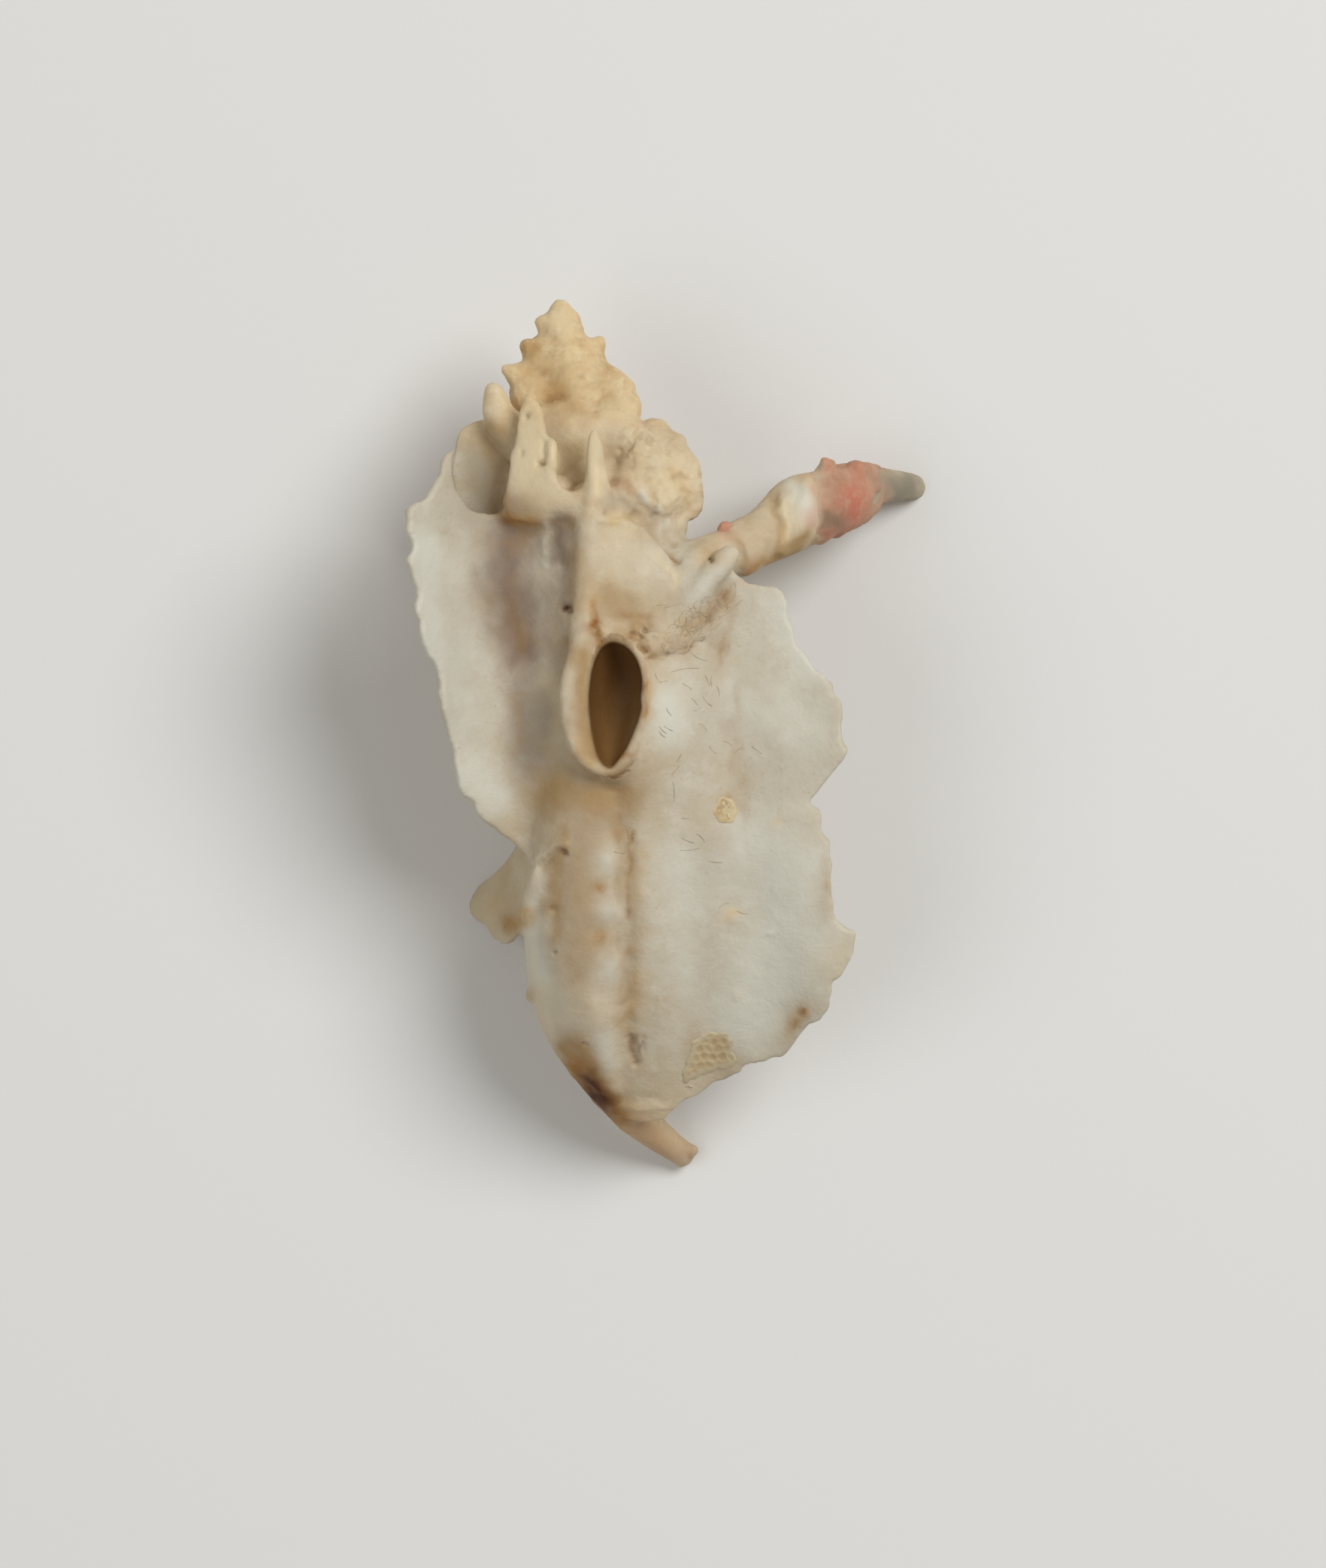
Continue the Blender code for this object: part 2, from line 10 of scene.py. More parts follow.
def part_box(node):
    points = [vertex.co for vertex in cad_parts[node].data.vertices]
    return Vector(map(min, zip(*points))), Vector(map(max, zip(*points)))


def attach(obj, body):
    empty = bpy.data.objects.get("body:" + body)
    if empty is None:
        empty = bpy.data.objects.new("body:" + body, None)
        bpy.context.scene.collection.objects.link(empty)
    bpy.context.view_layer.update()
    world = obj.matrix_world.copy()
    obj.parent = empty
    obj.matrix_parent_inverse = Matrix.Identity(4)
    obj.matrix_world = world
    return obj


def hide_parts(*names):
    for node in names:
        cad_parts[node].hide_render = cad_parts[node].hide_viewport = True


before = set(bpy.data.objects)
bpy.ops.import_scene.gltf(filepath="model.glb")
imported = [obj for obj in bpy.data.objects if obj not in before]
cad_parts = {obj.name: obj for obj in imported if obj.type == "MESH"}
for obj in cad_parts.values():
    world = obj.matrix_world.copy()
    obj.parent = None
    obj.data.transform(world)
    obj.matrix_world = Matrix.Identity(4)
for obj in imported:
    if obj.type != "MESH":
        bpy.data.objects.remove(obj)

mm = 0.001  # shapes are drawn in millimetres and brought to metres at the end
goldenAngle, goldenShare = 2.399963, 0.618034  # these scatter things evenly, with no rows to be seen
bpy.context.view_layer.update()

# the drawing's own middle, found from where the CAD's small disc came to lie
discSpot = Vector((2.3725, -3.0962, 0.0))  # middle of the disc's box as it was drawn
discLow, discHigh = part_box("base_disc")
drawingShift = (discLow + discHigh) / 2 / mm - discSpot
drawingShift.z = 0.0
toFrame = Matrix.Scale(mm, 4) @ Matrix.Translation(drawingShift)


def linearColour(hexText):
    # sRGB hex to the linear colour that the shaders work in
    parts = [int(hexText[i:i + 2], 16) / 255 for i in (1, 3, 5)]
    return (*[c / 12.92 if c <= 0.04045 else ((c + 0.055) / 1.055) ** 2.4 for c in parts], 1.0)


def addNode(tree, kind, settings=None, links=None):
    # settings name either an input socket or a property; links name the input they feed
    made = tree.nodes.new(kind)
    for name, value in (settings or {}).items():
        if isinstance(name, int) or name in made.inputs:
            made.inputs[name].default_value = value
        else:
            setattr(made, name, value)
    for name, source in (links or {}).items():
        tree.links.new(source, made.inputs[name])
    return made


def ramp(value, low, high):
    t = np.clip((value - low) / (high - low), 0.0, 1.0)
    return t * t * (3 - 2 * t)


def smoothPath(stations, steps):
    path = []
    last = len(stations) - 1
    for i in range(last):
        before, a = Vector(stations[max(i - 1, 0)]), Vector(stations[i])
        b, after = Vector(stations[i + 1]), Vector(stations[min(i + 2, last)])
        for k in range(steps):
            t = k / steps
            path.append(0.5 * (2 * a + (b - before) * t
                               + (2 * before - 5 * a + 4 * b - after) * t ** 2
                               + (3 * a - before - 3 * b + after) * t ** 3))
    path.append(Vector(stations[last]))
    return path


def addSkin(bm, rings, sides):
    # a closed body bridged through circles
    previous = None
    for place in rings:
        isEnd = place is rings[0] or place is rings[-1]
        made = bmesh.ops.create_circle(bm, cap_ends=isEnd, segments=sides, radius=1.0, matrix=place)
        loop = list({edge for vert in made["verts"] for edge in vert.link_edges})
        if previous:
            bmesh.ops.bridge_loops(bm, edges=previous + loop)
        previous = loop


def ringsAlong(path):
    rings = []
    for i, point in enumerate(path):
        ahead = path[min(i + 1, len(path) - 1)].xyz - path[max(i - 1, 0)].xyz
        turn = ahead.to_track_quat("Z", "Y").to_matrix().to_4x4()
        rings.append(Matrix.Translation(point.xyz) @ turn @ Matrix.Scale(point.w, 4))
    return rings


def addTube(bm, stations, steps=6, sides=20, roundEnds=True):
    # round tube through stations of x, y, z and radius
    path = smoothPath(stations, steps)
    addSkin(bm, ringsAlong(path), sides)
    if roundEnds:
        for end in (path[0], path[-1]):
            addBall(bm, end.xyz, (end.w, end.w, end.w))


def addBall(bm, centre, size, detail=4, lumps=0.0, grain=1.0):
    made = bmesh.ops.create_icosphere(bm, subdivisions=detail, radius=1.0)
    for vert in made["verts"]:
        way = vert.co.normalized()
        place = Vector(centre) + Vector(a * b for a, b in zip(way, size))
        vert.co = place + way * lumps * noise.noise(place / grain)


def ragged(outline, step, amount):
    # breaks each side of an outline into short ones with a fine unevenness
    points = []
    for i, start in enumerate(outline):
        a, b = Vector(start), Vector(outline[(i + 1) % len(outline)])
        pieces = max(1, round((b - a).length / step))
        side = Vector((b.y - a.y, a.x - b.x)).normalized()
        for k in range(pieces):
            place = a.lerp(b, k / pieces)
            wobble = noise.noise(Vector((place.x, place.y, 3.0)) / (0.8 * step)) if k else 0.0
            points.append(place + side * wobble * amount)
    return points


def addSheet(bm, outline, surface, thickness, cell=0.3):
    # plate with a flat outline in (u, v), laid on surface(u, v)
    flat = bmesh.new()
    flat.faces.new([flat.verts.new((u, v, 0.0)) for u, v in outline])
    for axis in (0, 1):
        values = [point[axis] for point in outline]
        normal = Vector((1 - axis, axis, 0))
        cuts = math.ceil((max(values) - min(values)) / cell)
        for k in range(1, cuts):
            where = min(values) + k * (max(values) - min(values)) / cuts
            everything = flat.verts[:] + flat.edges[:] + flat.faces[:]
            bmesh.ops.bisect_plane(flat, geom=everything, dist=1e-4, plane_co=normal * where,
                                   plane_no=normal)
    bmesh.ops.triangulate(flat, faces=flat.faces[:])
    extruded = bmesh.ops.extrude_face_region(flat, geom=flat.faces[:])["geom"]
    back = {item for item in extruded if isinstance(item, bmesh.types.BMVert)}
    step = 0.05
    for vert in flat.verts:
        u, v = vert.co.x, vert.co.y
        point = surface(u, v)
        normal = (surface(u + step, v) - point).cross(surface(u, v + step) - point).normalized()
        vert.co = point + normal * thickness(u, v) * (-0.5 if vert in back else 0.5)
    bmesh.ops.recalc_face_normals(flat, faces=flat.faces[:])
    plate = bpy.data.meshes.new("plate")
    flat.to_mesh(plate)
    flat.free()
    bm.from_mesh(plate)
    bpy.data.meshes.remove(plate)


def makeObject(name, bm):
    bmesh.ops.recalc_face_normals(bm, faces=bm.faces[:])
    mesh = bpy.data.meshes.new(name)
    bm.to_mesh(mesh)
    bm.free()
    made = bpy.data.objects.new(name, mesh)
    bpy.context.scene.collection.objects.link(made)
    return made


def applyModifiers(thing):
    seen = thing.evaluated_get(bpy.context.evaluated_depsgraph_get())
    old = thing.data
    mesh = bpy.data.meshes.new_from_object(seen)
    thing.modifiers.clear()
    thing.data = mesh
    bpy.data.meshes.remove(old)


def addModifier(thing, kind, **settings):
    made = thing.modifiers.new(kind.lower(), kind)
    for name, value in settings.items():
        setattr(made, name, value)


def addThinning(thing, triangles):
    addModifier(thing, "DECIMATE", ratio=min(1.0, triangles / (2 * len(thing.data.polygons))))


def pointsAndNormals(thing):
    count = len(thing.data.vertices)
    points = np.zeros(count * 3)
    normals = np.zeros(count * 3)
    thing.data.vertices.foreach_get("co", points)
    thing.data.vertex_normals.foreach_get("vector", normals)
    return points.reshape(-1, 3), normals.reshape(-1, 3)


def movePoints(thing, points):
    thing.data.vertices.foreach_set("co", points.ravel())
    thing.data.update()


def surfaceTree(thing):
    bm = bmesh.new()
    bm.from_mesh(thing.data)
    tree = BVHTree.FromBMesh(bm)
    bm.free()
    return tree


overhead = 20.0  # well above the shell, where rays start down
straightDown = Vector((0, 0, -1))


def levelUnder(tree, x, y, otherwise):
    # height of the upper skin below a place, or the other value where the ray falls past it
    spot = tree.ray_cast(Vector((x, y, overhead)), straightDown)[0]
    return spot.z if spot and spot.z > 4.0 else otherwise


def distanceToRoute(points, route):
    # distance in plan from each point to a line of (x, y) places, or to one place
    best = np.full(len(points), 1e9)
    for i in range(max(1, len(route) - 1)):
        a = np.array(route[i], float)
        b = np.array(route[min(i + 1, len(route) - 1)], float)
        along = b - a
        reach = max(float(along @ along), 1e-9)
        t = np.clip(((points[:, :2] - a) @ along) / reach, 0.0, 1.0)
        away = points[:, :2] - a - t[:, None] * along
        best = np.minimum(best, np.hypot(away[:, 0], away[:, 1]))
    return best


def noiseField(points, grain, seed):
    # smooth noise at every point, about -0.6 to 0.6
    return np.array([noise.noise(Vector(point) / grain + Vector((seed, 0, 0))) for point in points])


def wander(points, amount, grain):
    # places moved a little sideways, so that drawn marks wander as real ones do
    moved = points.copy()
    for axis in (0, 1):
        coarse = noiseField(points, grain, 3.0 + axis)
        fine = noiseField(points, grain / 3, 7.0 + axis)
        moved[:, axis] += amount * (coarse + 0.5 * fine)
    return moved


def markMask(moved, marks, adding=False):
    # a mark is a spot or a line through places, (x, y, ... width, strength), and fades out over its width
    mask = np.zeros(len(moved))
    for *route, width, strength in marks:
        away = distanceToRoute(moved, list(zip(route[::2], route[1::2])))
        value = strength * np.exp(-(away / width) ** 2)
        mask = mask + value if adding else np.maximum(mask, value)
    return mask


def neighbourMean(thing, values, rounds):
    # each vertex takes the mean of its neighbours' values, again and again; values has one column or more
    edges = np.zeros(len(thing.data.edges) * 2, int)
    thing.data.edges.foreach_get("vertices", edges)
    a, b = edges.reshape(-1, 2).T
    size = len(values)
    count = np.maximum(np.bincount(a, minlength=size) + np.bincount(b, minlength=size), 1)
    mean = values.reshape(size, -1).copy()
    for _ in range(rounds):
        sums = [np.bincount(a, part[b], size) + np.bincount(b, part[a], size) for part in mean.T]
        mean = np.stack([total / count for total in sums], axis=1)
    return mean.reshape(values.shape)


def hollows(thing, rounds):
    # how far each point lies below its neighbourhood, in millimetres
    points, normals = pointsAndNormals(thing)
    return ((neighbourMean(thing, points, rounds) - points) * normals).sum(axis=1)


def openToSky(thing, points, normals):
    # 1 where nothing of the thing lies above a point, else 0, softened over a few vertices
    tree = surfaceTree(thing)
    seen = np.zeros(len(points))
    for k in np.nonzero(normals[:, 2] > -0.4)[0]:
        start = Vector(points[k]) + Vector(normals[k]) * 0.15
        seen[k] = tree.ray_cast(start, Vector((0, 0, 1)))[0] is None
    return neighbourMean(thing, seen, 3)


def setAttribute(thing, name, values):
    made = thing.data.attributes.new(name, "FLOAT", "POINT")
    made.data.foreach_set("value", np.ascontiguousarray(values, np.float32))


shellForm = {
    "apex": Vector((-4.4, 17.3, 6.2)), "body": Vector((-2.5, 4.1, 7.5)), "turns": 5.5, "growth": 1.6,
    "bodyWidth": 3.0, "taper": 0.5, "whorlHeight": 0.25, "lipAngle": math.radians(70), "knobs": 90,
    "wingEdge": 0.34, "wingRoot": 1.5, "wingLevel": 9.55, "valleyLevel": 8.7, "innerDrop": 0.8,
    "dorsalAxis": Vector((-3.0, 0.0, 7.6)), "rimLevel": 11.3, "boreDepth": 2.5, "boreMiddle": (-2.15, 1.1),
    "firstVoxel": 0.12, "voxel": 0.085, "seamRounds": 90, "triangles": 190000,
    # surface clouds: name, grain and height in mm, and the vertex group where they lie
    "clouds": [("coarse crust", 0.55, 0.22, "rough"), ("fine crust", 0.2, 0.12, "rough"),
               ("worn skin", 0.8, 0.05, "")],
}

spineStations = [
    (-0.8, 5.6, 8.4, 1.2), (0.3, 6.5, 8.5, 1.0), (1.5, 6.95, 8.1, 0.98), (2.35, 7.25, 7.65, 1.0),
    (2.75, 7.35, 7.4, 1.12), (3.2, 7.6, 7.1, 1.1), (3.7, 7.85, 6.7, 1.12), (4.2, 8.15, 6.35, 1.22),
    (4.7, 8.5, 5.9, 1.34), (5.2, 8.9, 5.45, 1.45), (5.7, 9.15, 5.0, 1.4), (6.05, 9.28, 4.6, 1.3),
    (6.6, 9.4, 4.0, 1.24), (7.2, 9.6, 3.4, 1.18), (7.9, 9.93, 2.7, 0.95), (8.5, 10.05, 2.1, 0.74),
    (9.4, 10.03, 1.05, 0.62), (9.85, 10.0, 0.42, 0.55),
]


def addWhorls(bm):
    form = shellForm
    axis = (form["apex"] - form["body"]).normalized()
    length = (form["apex"] - form["body"]).length
    side = (Vector((1, 0, 0)) - axis * axis.x).normalized()
    front = side.cross(axis)

    def onSpiral(angle, scale):
        # the way out from the axis, the whorl's radius there, and the depth below the apex
        radial = side * math.cos(angle) + front * math.sin(angle)
        return radial, form["bodyWidth"] * scale ** form["taper"], length * scale

    perTurn = 40
    count = int(form["turns"] * perTurn)
    rings = []
    for k in range(count + 1):
        turn = (k - count) / perTurn
        radial, width, depth = onSpiral(form["lipAngle"] + turn * 2 * math.pi, form["growth"] ** turn)
        centre = form["apex"] - axis * depth + radial * width * 0.4
        ring = Matrix.Identity(4)
        ring.col[0] = (*(radial * width * 0.6), 0)
        ring.col[1] = (*(axis * depth * form["whorlHeight"]), 0)
        ring.col[2] = (*axis.cross(radial), 0)
        ring.col[3] = (*centre, 1)
        rings.append(ring)
    addSkin(bm, rings, 28)
    addBall(bm, form["apex"] - axis * 0.3, (0.46, 0.45, 0.46))
    # worn knobs, on the sides and the back only, because the side above is worn smooth
    for k in range(form["knobs"]):
        share = 0.035 + 0.5 * (k * goldenShare % 1.0)
        radial, width, depth = onSpiral(k * goldenAngle, share)
        if radial.z > 0.35:
            continue
        centre = form["apex"] - axis * depth + radial * width * 0.93
        size = 0.14 + 0.26 * share + 0.05 * math.sin(3.0 * k)
        addBall(bm, centre, (size, size * 0.8, size), detail=2)


def addBodyAndCanal(bm):
    addBall(bm, (-1.5, 6.0, 8.3), (2.0, 2.75, 2.15))
    addBall(bm, (-1.9, 5.0, 8.6), (1.8, 1.9, 1.7))
    addBall(bm, (1.0, 4.5, 8.9), (1.5, 1.5, 1.0))
    addTube(bm, [(-2.5, 4.4, 7.5, 2.7), (-2.7, 1.5, 7.6, 2.6), (-3.0, -1.5, 7.8, 2.3),
                 (-3.4, -4.5, 7.9, 2.0), (-3.5, -8.0, 7.6, 1.8), (-3.2, -11.0, 6.6, 1.5),
                 (-2.5, -13.3, 5.0, 1.1), (-1.6, -15.15, 3.0, 0.82), (-0.4, -16.25, 1.5, 0.64),
                 (0.3, -16.78, 0.75, 0.55), (0.76, -17.08, 0.42, 0.52)], roundEnds=False)
    # chips left on the broken end
    for x, y, size in ((0.42, -17.22, 0.2), (1.06, -16.86, 0.17), (0.72, -17.1, 0.24)):
        addBall(bm, (x, y, 0.5), (size, size, size), detail=3, lumps=0.3, grain=0.15)
    # soft groove between the column and the body, filled
    addTube(bm, [(-2.4, 8.3, 9.3, 0.9), (-2.4, 6.6, 9.43, 1.05), (-2.6, 5.0, 9.5, 1.0)])
    # the body flows into the lip's upper end
    addTube(bm, [(-2.95, 4.1, 10.3, 0.32), (-2.4, 4.2, 10.3, 0.34), (-1.8, 4.2, 10.24, 0.34),
                 (-1.2, 4.2, 10.14, 0.34)])
    # low ridge that runs out to the canal's left, where the dorsal wing leaves it
    addTube(bm, [(-4.2, -3.6, 8.5, 0.7), (-4.75, -5.1, 8.6, 0.6), (-5.2, -6.2, 8.35, 0.52),
                 (-5.5, -7.1, 7.9, 0.42), (-5.5, -8.0, 7.2, 0.35)])
    addTube(bm, [(-3.8, -3.6, 7.5, 1.3), (-3.95, -5.4, 7.5, 1.35), (-4.32, -7.5, 7.1, 1.45),
                 (-4.36, -9.3, 6.6, 1.36), (-4.2, -11.0, 5.9, 1.2), (-3.6, -12.7, 5.1, 0.92),
                 (-2.85, -14.1, 4.2, 0.62), (-2.0, -15.3, 3.1, 0.42)])
    addBall(bm, (-5.42, -10.45, 6.2), (0.36, 0.34, 0.4))
    addBall(bm, (-5.62, -7.2, 7.9), (0.27, 0.27, 0.27))


def rootedThickness(share):
    # a wing thickens from its edge to its root
    return shellForm["wingEdge"] + (shellForm["wingRoot"] - shellForm["wingEdge"]) * share


def rightWingSurface(x, y):
    hollow = 0.5 * math.sin(math.pi * ramp(x, -1.0, 7.0))
    bend = 0.036 * max(0.0, -3.5 - y) ** 2
    tilt = 0.04 * (x - 1.0)
    folds = 0.07 * math.sin(1.9 * x + 0.35 * y)
    besideLip = 1.3 * math.exp(-((x + 1.0) / 2.3) ** 2 - ((y - 1.0) / 3.6) ** 2)
    # the root dips under the canal
    besideLip -= shellForm["innerDrop"] * ramp(-x, 1.2, 2.3) * ramp(-y, 0.3, 1.8)
    # growth rays fan out from the shoulder to the upper margin
    away = math.hypot(x - 0.6, y - 5.4)
    angle = math.atan2(5.4 - y, x - 0.6)
    rays = 0.012 * math.sin(26 * angle + 2 * math.sin(7 * angle))
    rays = rays * ramp(away, 1.0, 3.0) * (1 - ramp(-y, 1.5, 5.0))
    # the upper face stays level as the root thickens
    swell = (rightWingThickness(x, y) - shellForm["wingEdge"]) / 2
    return Vector((x, y, shellForm["wingLevel"] - hollow - bend + tilt + folds + besideLip + rays - swell))


def rightWingThickness(x, y):
    return rootedThickness(1 - ramp(x, -1.0, 2.8))


rightWingEdge = [
    (0.0, 5.8), (1.6, 6.7), (2.6, 6.4), (3.15, 6.0), (3.7, 5.93), (4.3, 5.85), (4.55, 5.65), (4.75, 5.2),
    (4.7, 4.9), (4.75, 4.5), (5.0, 4.1), (5.05, 3.6), (5.4, 3.2), (5.6, 2.9), (5.8, 2.55), (6.1, 2.45),
    (6.3, 2.1), (6.5, 1.95), (6.5, 1.7), (6.85, 1.35), (6.92, 0.9), (6.87, 0.3), (6.92, -0.4), (7.17, -0.7),
    (6.9, -1.15), (6.5, -1.6), (6.1, -2.1), (5.8, -2.5), (5.57, -2.75), (5.8, -2.95), (6.05, -3.05),
    (6.12, -3.4), (6.02, -3.75), (6.2, -4.1), (6.4, -4.3), (6.45, -5.0), (6.5, -5.6), (6.5, -6.6),
    (6.65, -6.75), (6.58, -7.1), (6.7, -7.45), (7.0, -7.75), (7.4, -7.8), (7.52, -8.0), (7.4, -8.6),
    (7.2, -9.1), (6.95, -9.6), (6.8, -9.75), (6.45, -9.85), (6.57, -10.3), (6.4, -10.7), (6.3, -11.1),
    (6.1, -11.45), (5.6, -11.6), (5.35, -11.9), (5.1, -12.3), (4.9, -12.6), (4.5, -12.9), (3.9, -13.05),
    (3.2, -13.2), (3.0, -13.3), (2.9, -13.55), (2.3, -13.75), (1.7, -13.95), (1.3, -14.25), (0.9, -14.4),
    (0.5, -14.5), (0.2, -14.8), (0.0, -15.05), (-0.5, -15.2), (-1.0, -15.2), (-1.75, -15.0), (-2.3, -13.0),
    (-2.4, -9.0), (-2.2, -4.0), (-1.6, 0.0), (-1.2, 4.0),
]


def leftWingSurface(x, y):
    outward = max(0.0, -6.0 - x)
    inward = max(0.0, x + 6.0)
    level = shellForm["valleyLevel"] + 0.15 * outward ** 2 + 0.6 * inward ** 2 / (inward + 1.0)
    waves = 0.06 * math.sin(2.3 * y + 0.8 * x) * ramp(outward, 1.0, 4.0)
    swell = (leftWingThickness(x, y) - shellForm["wingEdge"]) / 2
    return Vector((x, y, level + waves - swell - 0.02 * (y - 3.0) ** 2 * ramp(-y, -3.0, 6.0)))


def leftWingThickness(x, y):
    return rootedThickness(ramp(x, -7.5, -5.0))


leftWingEdge = [
    (-8.55, 11.4), (-8.9, 11.15), (-9.05, 10.9), (-9.1, 10.45), (-9.3, 10.1), (-9.45, 9.8), (-9.6, 9.45),
    (-9.75, 9.3), (-10.1, 9.2), (-10.35, 8.95), (-10.42, 8.7), (-10.37, 8.4), (-10.44, 8.1), (-10.3, 7.8),
    (-10.15, 7.5), (-10.2, 7.25), (-10.4, 6.95), (-10.33, 6.6), (-10.2, 6.1), (-10.0, 5.7), (-9.97, 5.4),
    (-10.12, 5.1), (-10.0, 4.6), (-9.85, 4.4), (-9.92, 4.1), (-9.8, 3.5), (-9.55, 3.0), (-9.3, 2.6),
    (-9.2, 2.3), (-9.12, 1.9), (-9.15, 1.5), (-9.0, 0.8), (-8.85, 0.1), (-8.7, -0.4), (-8.6, -0.8),
    (-8.6, -1.1), (-8.5, -1.5), (-8.45, -2.0), (-8.3, -2.5), (-8.0, -2.6), (-7.75, -2.9), (-7.7, -3.2),
    (-7.3, -3.6), (-7.05, -3.7), (-6.8, -4.0), (-6.4, -4.25), (-6.2, -4.45), (-5.85, -4.6), (-5.6, -4.75),
    (-5.3, -5.15), (-5.0, -4.8), (-4.6, -4.55), (-4.2, -4.4), (-3.6, -2.0), (-3.4, 3.0), (-3.4, 9.0),
    (-4.6, 9.2), (-6.5, 8.95), (-6.9, 8.8), (-7.3, 8.75), (-7.9, 8.9), (-8.3, 9.3), (-8.6, 9.8),
    (-8.7, 10.3),
]


def dorsalWingSurface(y, reach):
    lean = math.radians(12 + 19 * ramp(-y, -2.0, 7.0))
    across = Vector((-math.sin(lean), 0, -math.cos(lean)))
    wave = 0.25 * math.sin(1.1 * y) * ramp(reach, 3.0, 8.0)
    ribs = 0.05 * math.sin(3.7 * y + 0.6 * reach) * ramp(reach, 4.0, 8.0)
    return shellForm["dorsalAxis"] + Vector((wave + ribs, y, 0)) + across * reach


def dorsalWingThickness(y, reach):
    return shellForm["wingEdge"] + 0.06 + 1.1 * (1 - ramp(reach, 2.0, 5.0))


dorsalWingEdge = [
    (9.6, 1.5), (10.4, 3.4), (9.9, 4.4), (9.6, 5.0), (9.0, 5.2), (8.7, 5.6), (8.1, 6.2), (7.6, 7.0),
    (6.8, 7.2), (5.8, 7.7), (5.2, 8.05), (4.6, 8.1), (3.6, 8.15), (2.6, 8.1), (2.0, 7.8), (1.4, 7.6),
    (0.8, 7.3), (0.2, 7.35), (-0.6, 7.6), (-1.4, 7.6), (-2.2, 7.35), (-3.0, 7.4), (-3.7, 7.2), (-4.4, 7.1),
    (-4.8, 7.15), (-5.2, 7.4), (-5.5, 7.8), (-5.8, 8.2), (-6.0, 8.65), (-6.2, 8.9), (-6.6, 9.1),
    (-7.0, 9.12), (-7.3, 9.0), (-7.6, 8.6), (-7.8, 8.0), (-8.2, 7.6), (-8.45, 6.9), (-8.4, 6.4),
    (-8.3, 6.2), (-8.0, 5.7), (-8.6, 4.4), (-9.8, 3.2), (-9.8, 1.5),
]


def addWings(bm):
    addSheet(bm, ragged(rightWingEdge, 0.2, 0.07), rightWingSurface, rightWingThickness)
    addSheet(bm, ragged(leftWingEdge, 0.2, 0.1), leftWingSurface, leftWingThickness)
    addSheet(bm, ragged(dorsalWingEdge, 0.25, 0.08), dorsalWingSurface, dorsalWingThickness)


def addRim(bm):
    # lip of the aperture: a broad rolled band on the left, a thin cord on the right; x, y, top and radius
    outer = [(-2.7, 4.05, 10.95, 0.3), (-3.3, 4.0, 11.0, 0.34), (-3.7, 3.3, 11.15, 0.34),
             (-3.95, 2.5, 11.25, 0.34), (-4.1, 1.5, 11.3, 0.36), (-4.02, 0.5, 11.3, 0.34),
             (-3.8, -0.35, 11.25, 0.32), (-3.4, -1.0, 11.15, 0.28), (-2.85, -1.45, 11.05, 0.25),
             (-2.3, -1.6, 10.95, 0.2)]
    middle = [(-3.1, 3.7, 10.9, 0.4), (-3.45, 2.8, 11.05, 0.5), (-3.65, 1.8, 11.12, 0.55),
              (-3.62, 0.6, 11.12, 0.55), (-3.35, -0.4, 11.05, 0.45), (-2.9, -1.1, 10.95, 0.3)]
    inner = [(-2.3, 3.85, 10.85, 0.26), (-2.9, 3.4, 10.85, 0.3), (-3.2, 2.4, 10.9, 0.3),
             (-3.3, 1.2, 10.9, 0.3), (-3.15, 0.0, 10.9, 0.3), (-2.8, -1.0, 10.85, 0.26),
             (-2.35, -1.6, 10.85, 0.22)]
    right = [(-2.35, -1.6, 10.85, 0.26), (-1.75, -1.05, 10.9, 0.28), (-1.25, -0.3, 10.98, 0.3),
             (-0.95, 0.5, 11.05, 0.3), (-0.85, 1.3, 11.1, 0.3), (-0.9, 2.3, 11.08, 0.3),
             (-1.15, 3.1, 11.0, 0.28), (-1.65, 3.65, 10.92, 0.26), (-2.3, 3.9, 10.9, 0.26)]
    for lip in (outer, middle, inner, right):
        addTube(bm, [(x, y, top - radius, radius) for x, y, top, radius in lip], sides=16)
    addTube(bm, [(-2.35, -1.62, 10.2, 0.42), (-1.8, -1.25, 10.25, 0.48), (-1.2, -0.5, 10.35, 0.5),
                 (-0.75, 0.4, 10.4, 0.5), (-0.65, 1.5, 10.4, 0.5), (-0.8, 2.5, 10.35, 0.45)])
    level = shellForm["rimLevel"]
    addBall(bm, (-2.4, 1.2, level - 2.25), (2.0, 3.3, 2.0))
    # lumpy callus where the lip meets the body above
    for x, y, radius in ((-1.75, 4.0, 0.3), (-1.3, 4.15, 0.3), (-0.9, 3.75, 0.34), (-0.6, 3.3, 0.3),
                         (-1.2, 3.65, 0.28), (-0.45, 3.85, 0.34), (-0.2, 3.4, 0.3)):
        addBall(bm, (x, y, 10.75 - radius), (radius, radius, radius), detail=3, lumps=0.2, grain=0.3)


mouthOutline = [
    (-2.3, 3.65), (-1.8, 3.5), (-1.4, 3.1), (-1.15, 2.5), (-1.08, 1.9), (-1.16, 1.35), (-1.1, 1.0),
    (-1.3, 0.3), (-1.7, -0.6), (-2.1, -1.2), (-2.4, -1.45), (-2.8, -1.1), (-3.05, -0.3), (-3.18, 0.7),
    (-3.2, 1.7), (-3.05, 2.7), (-2.7, 3.4),
]


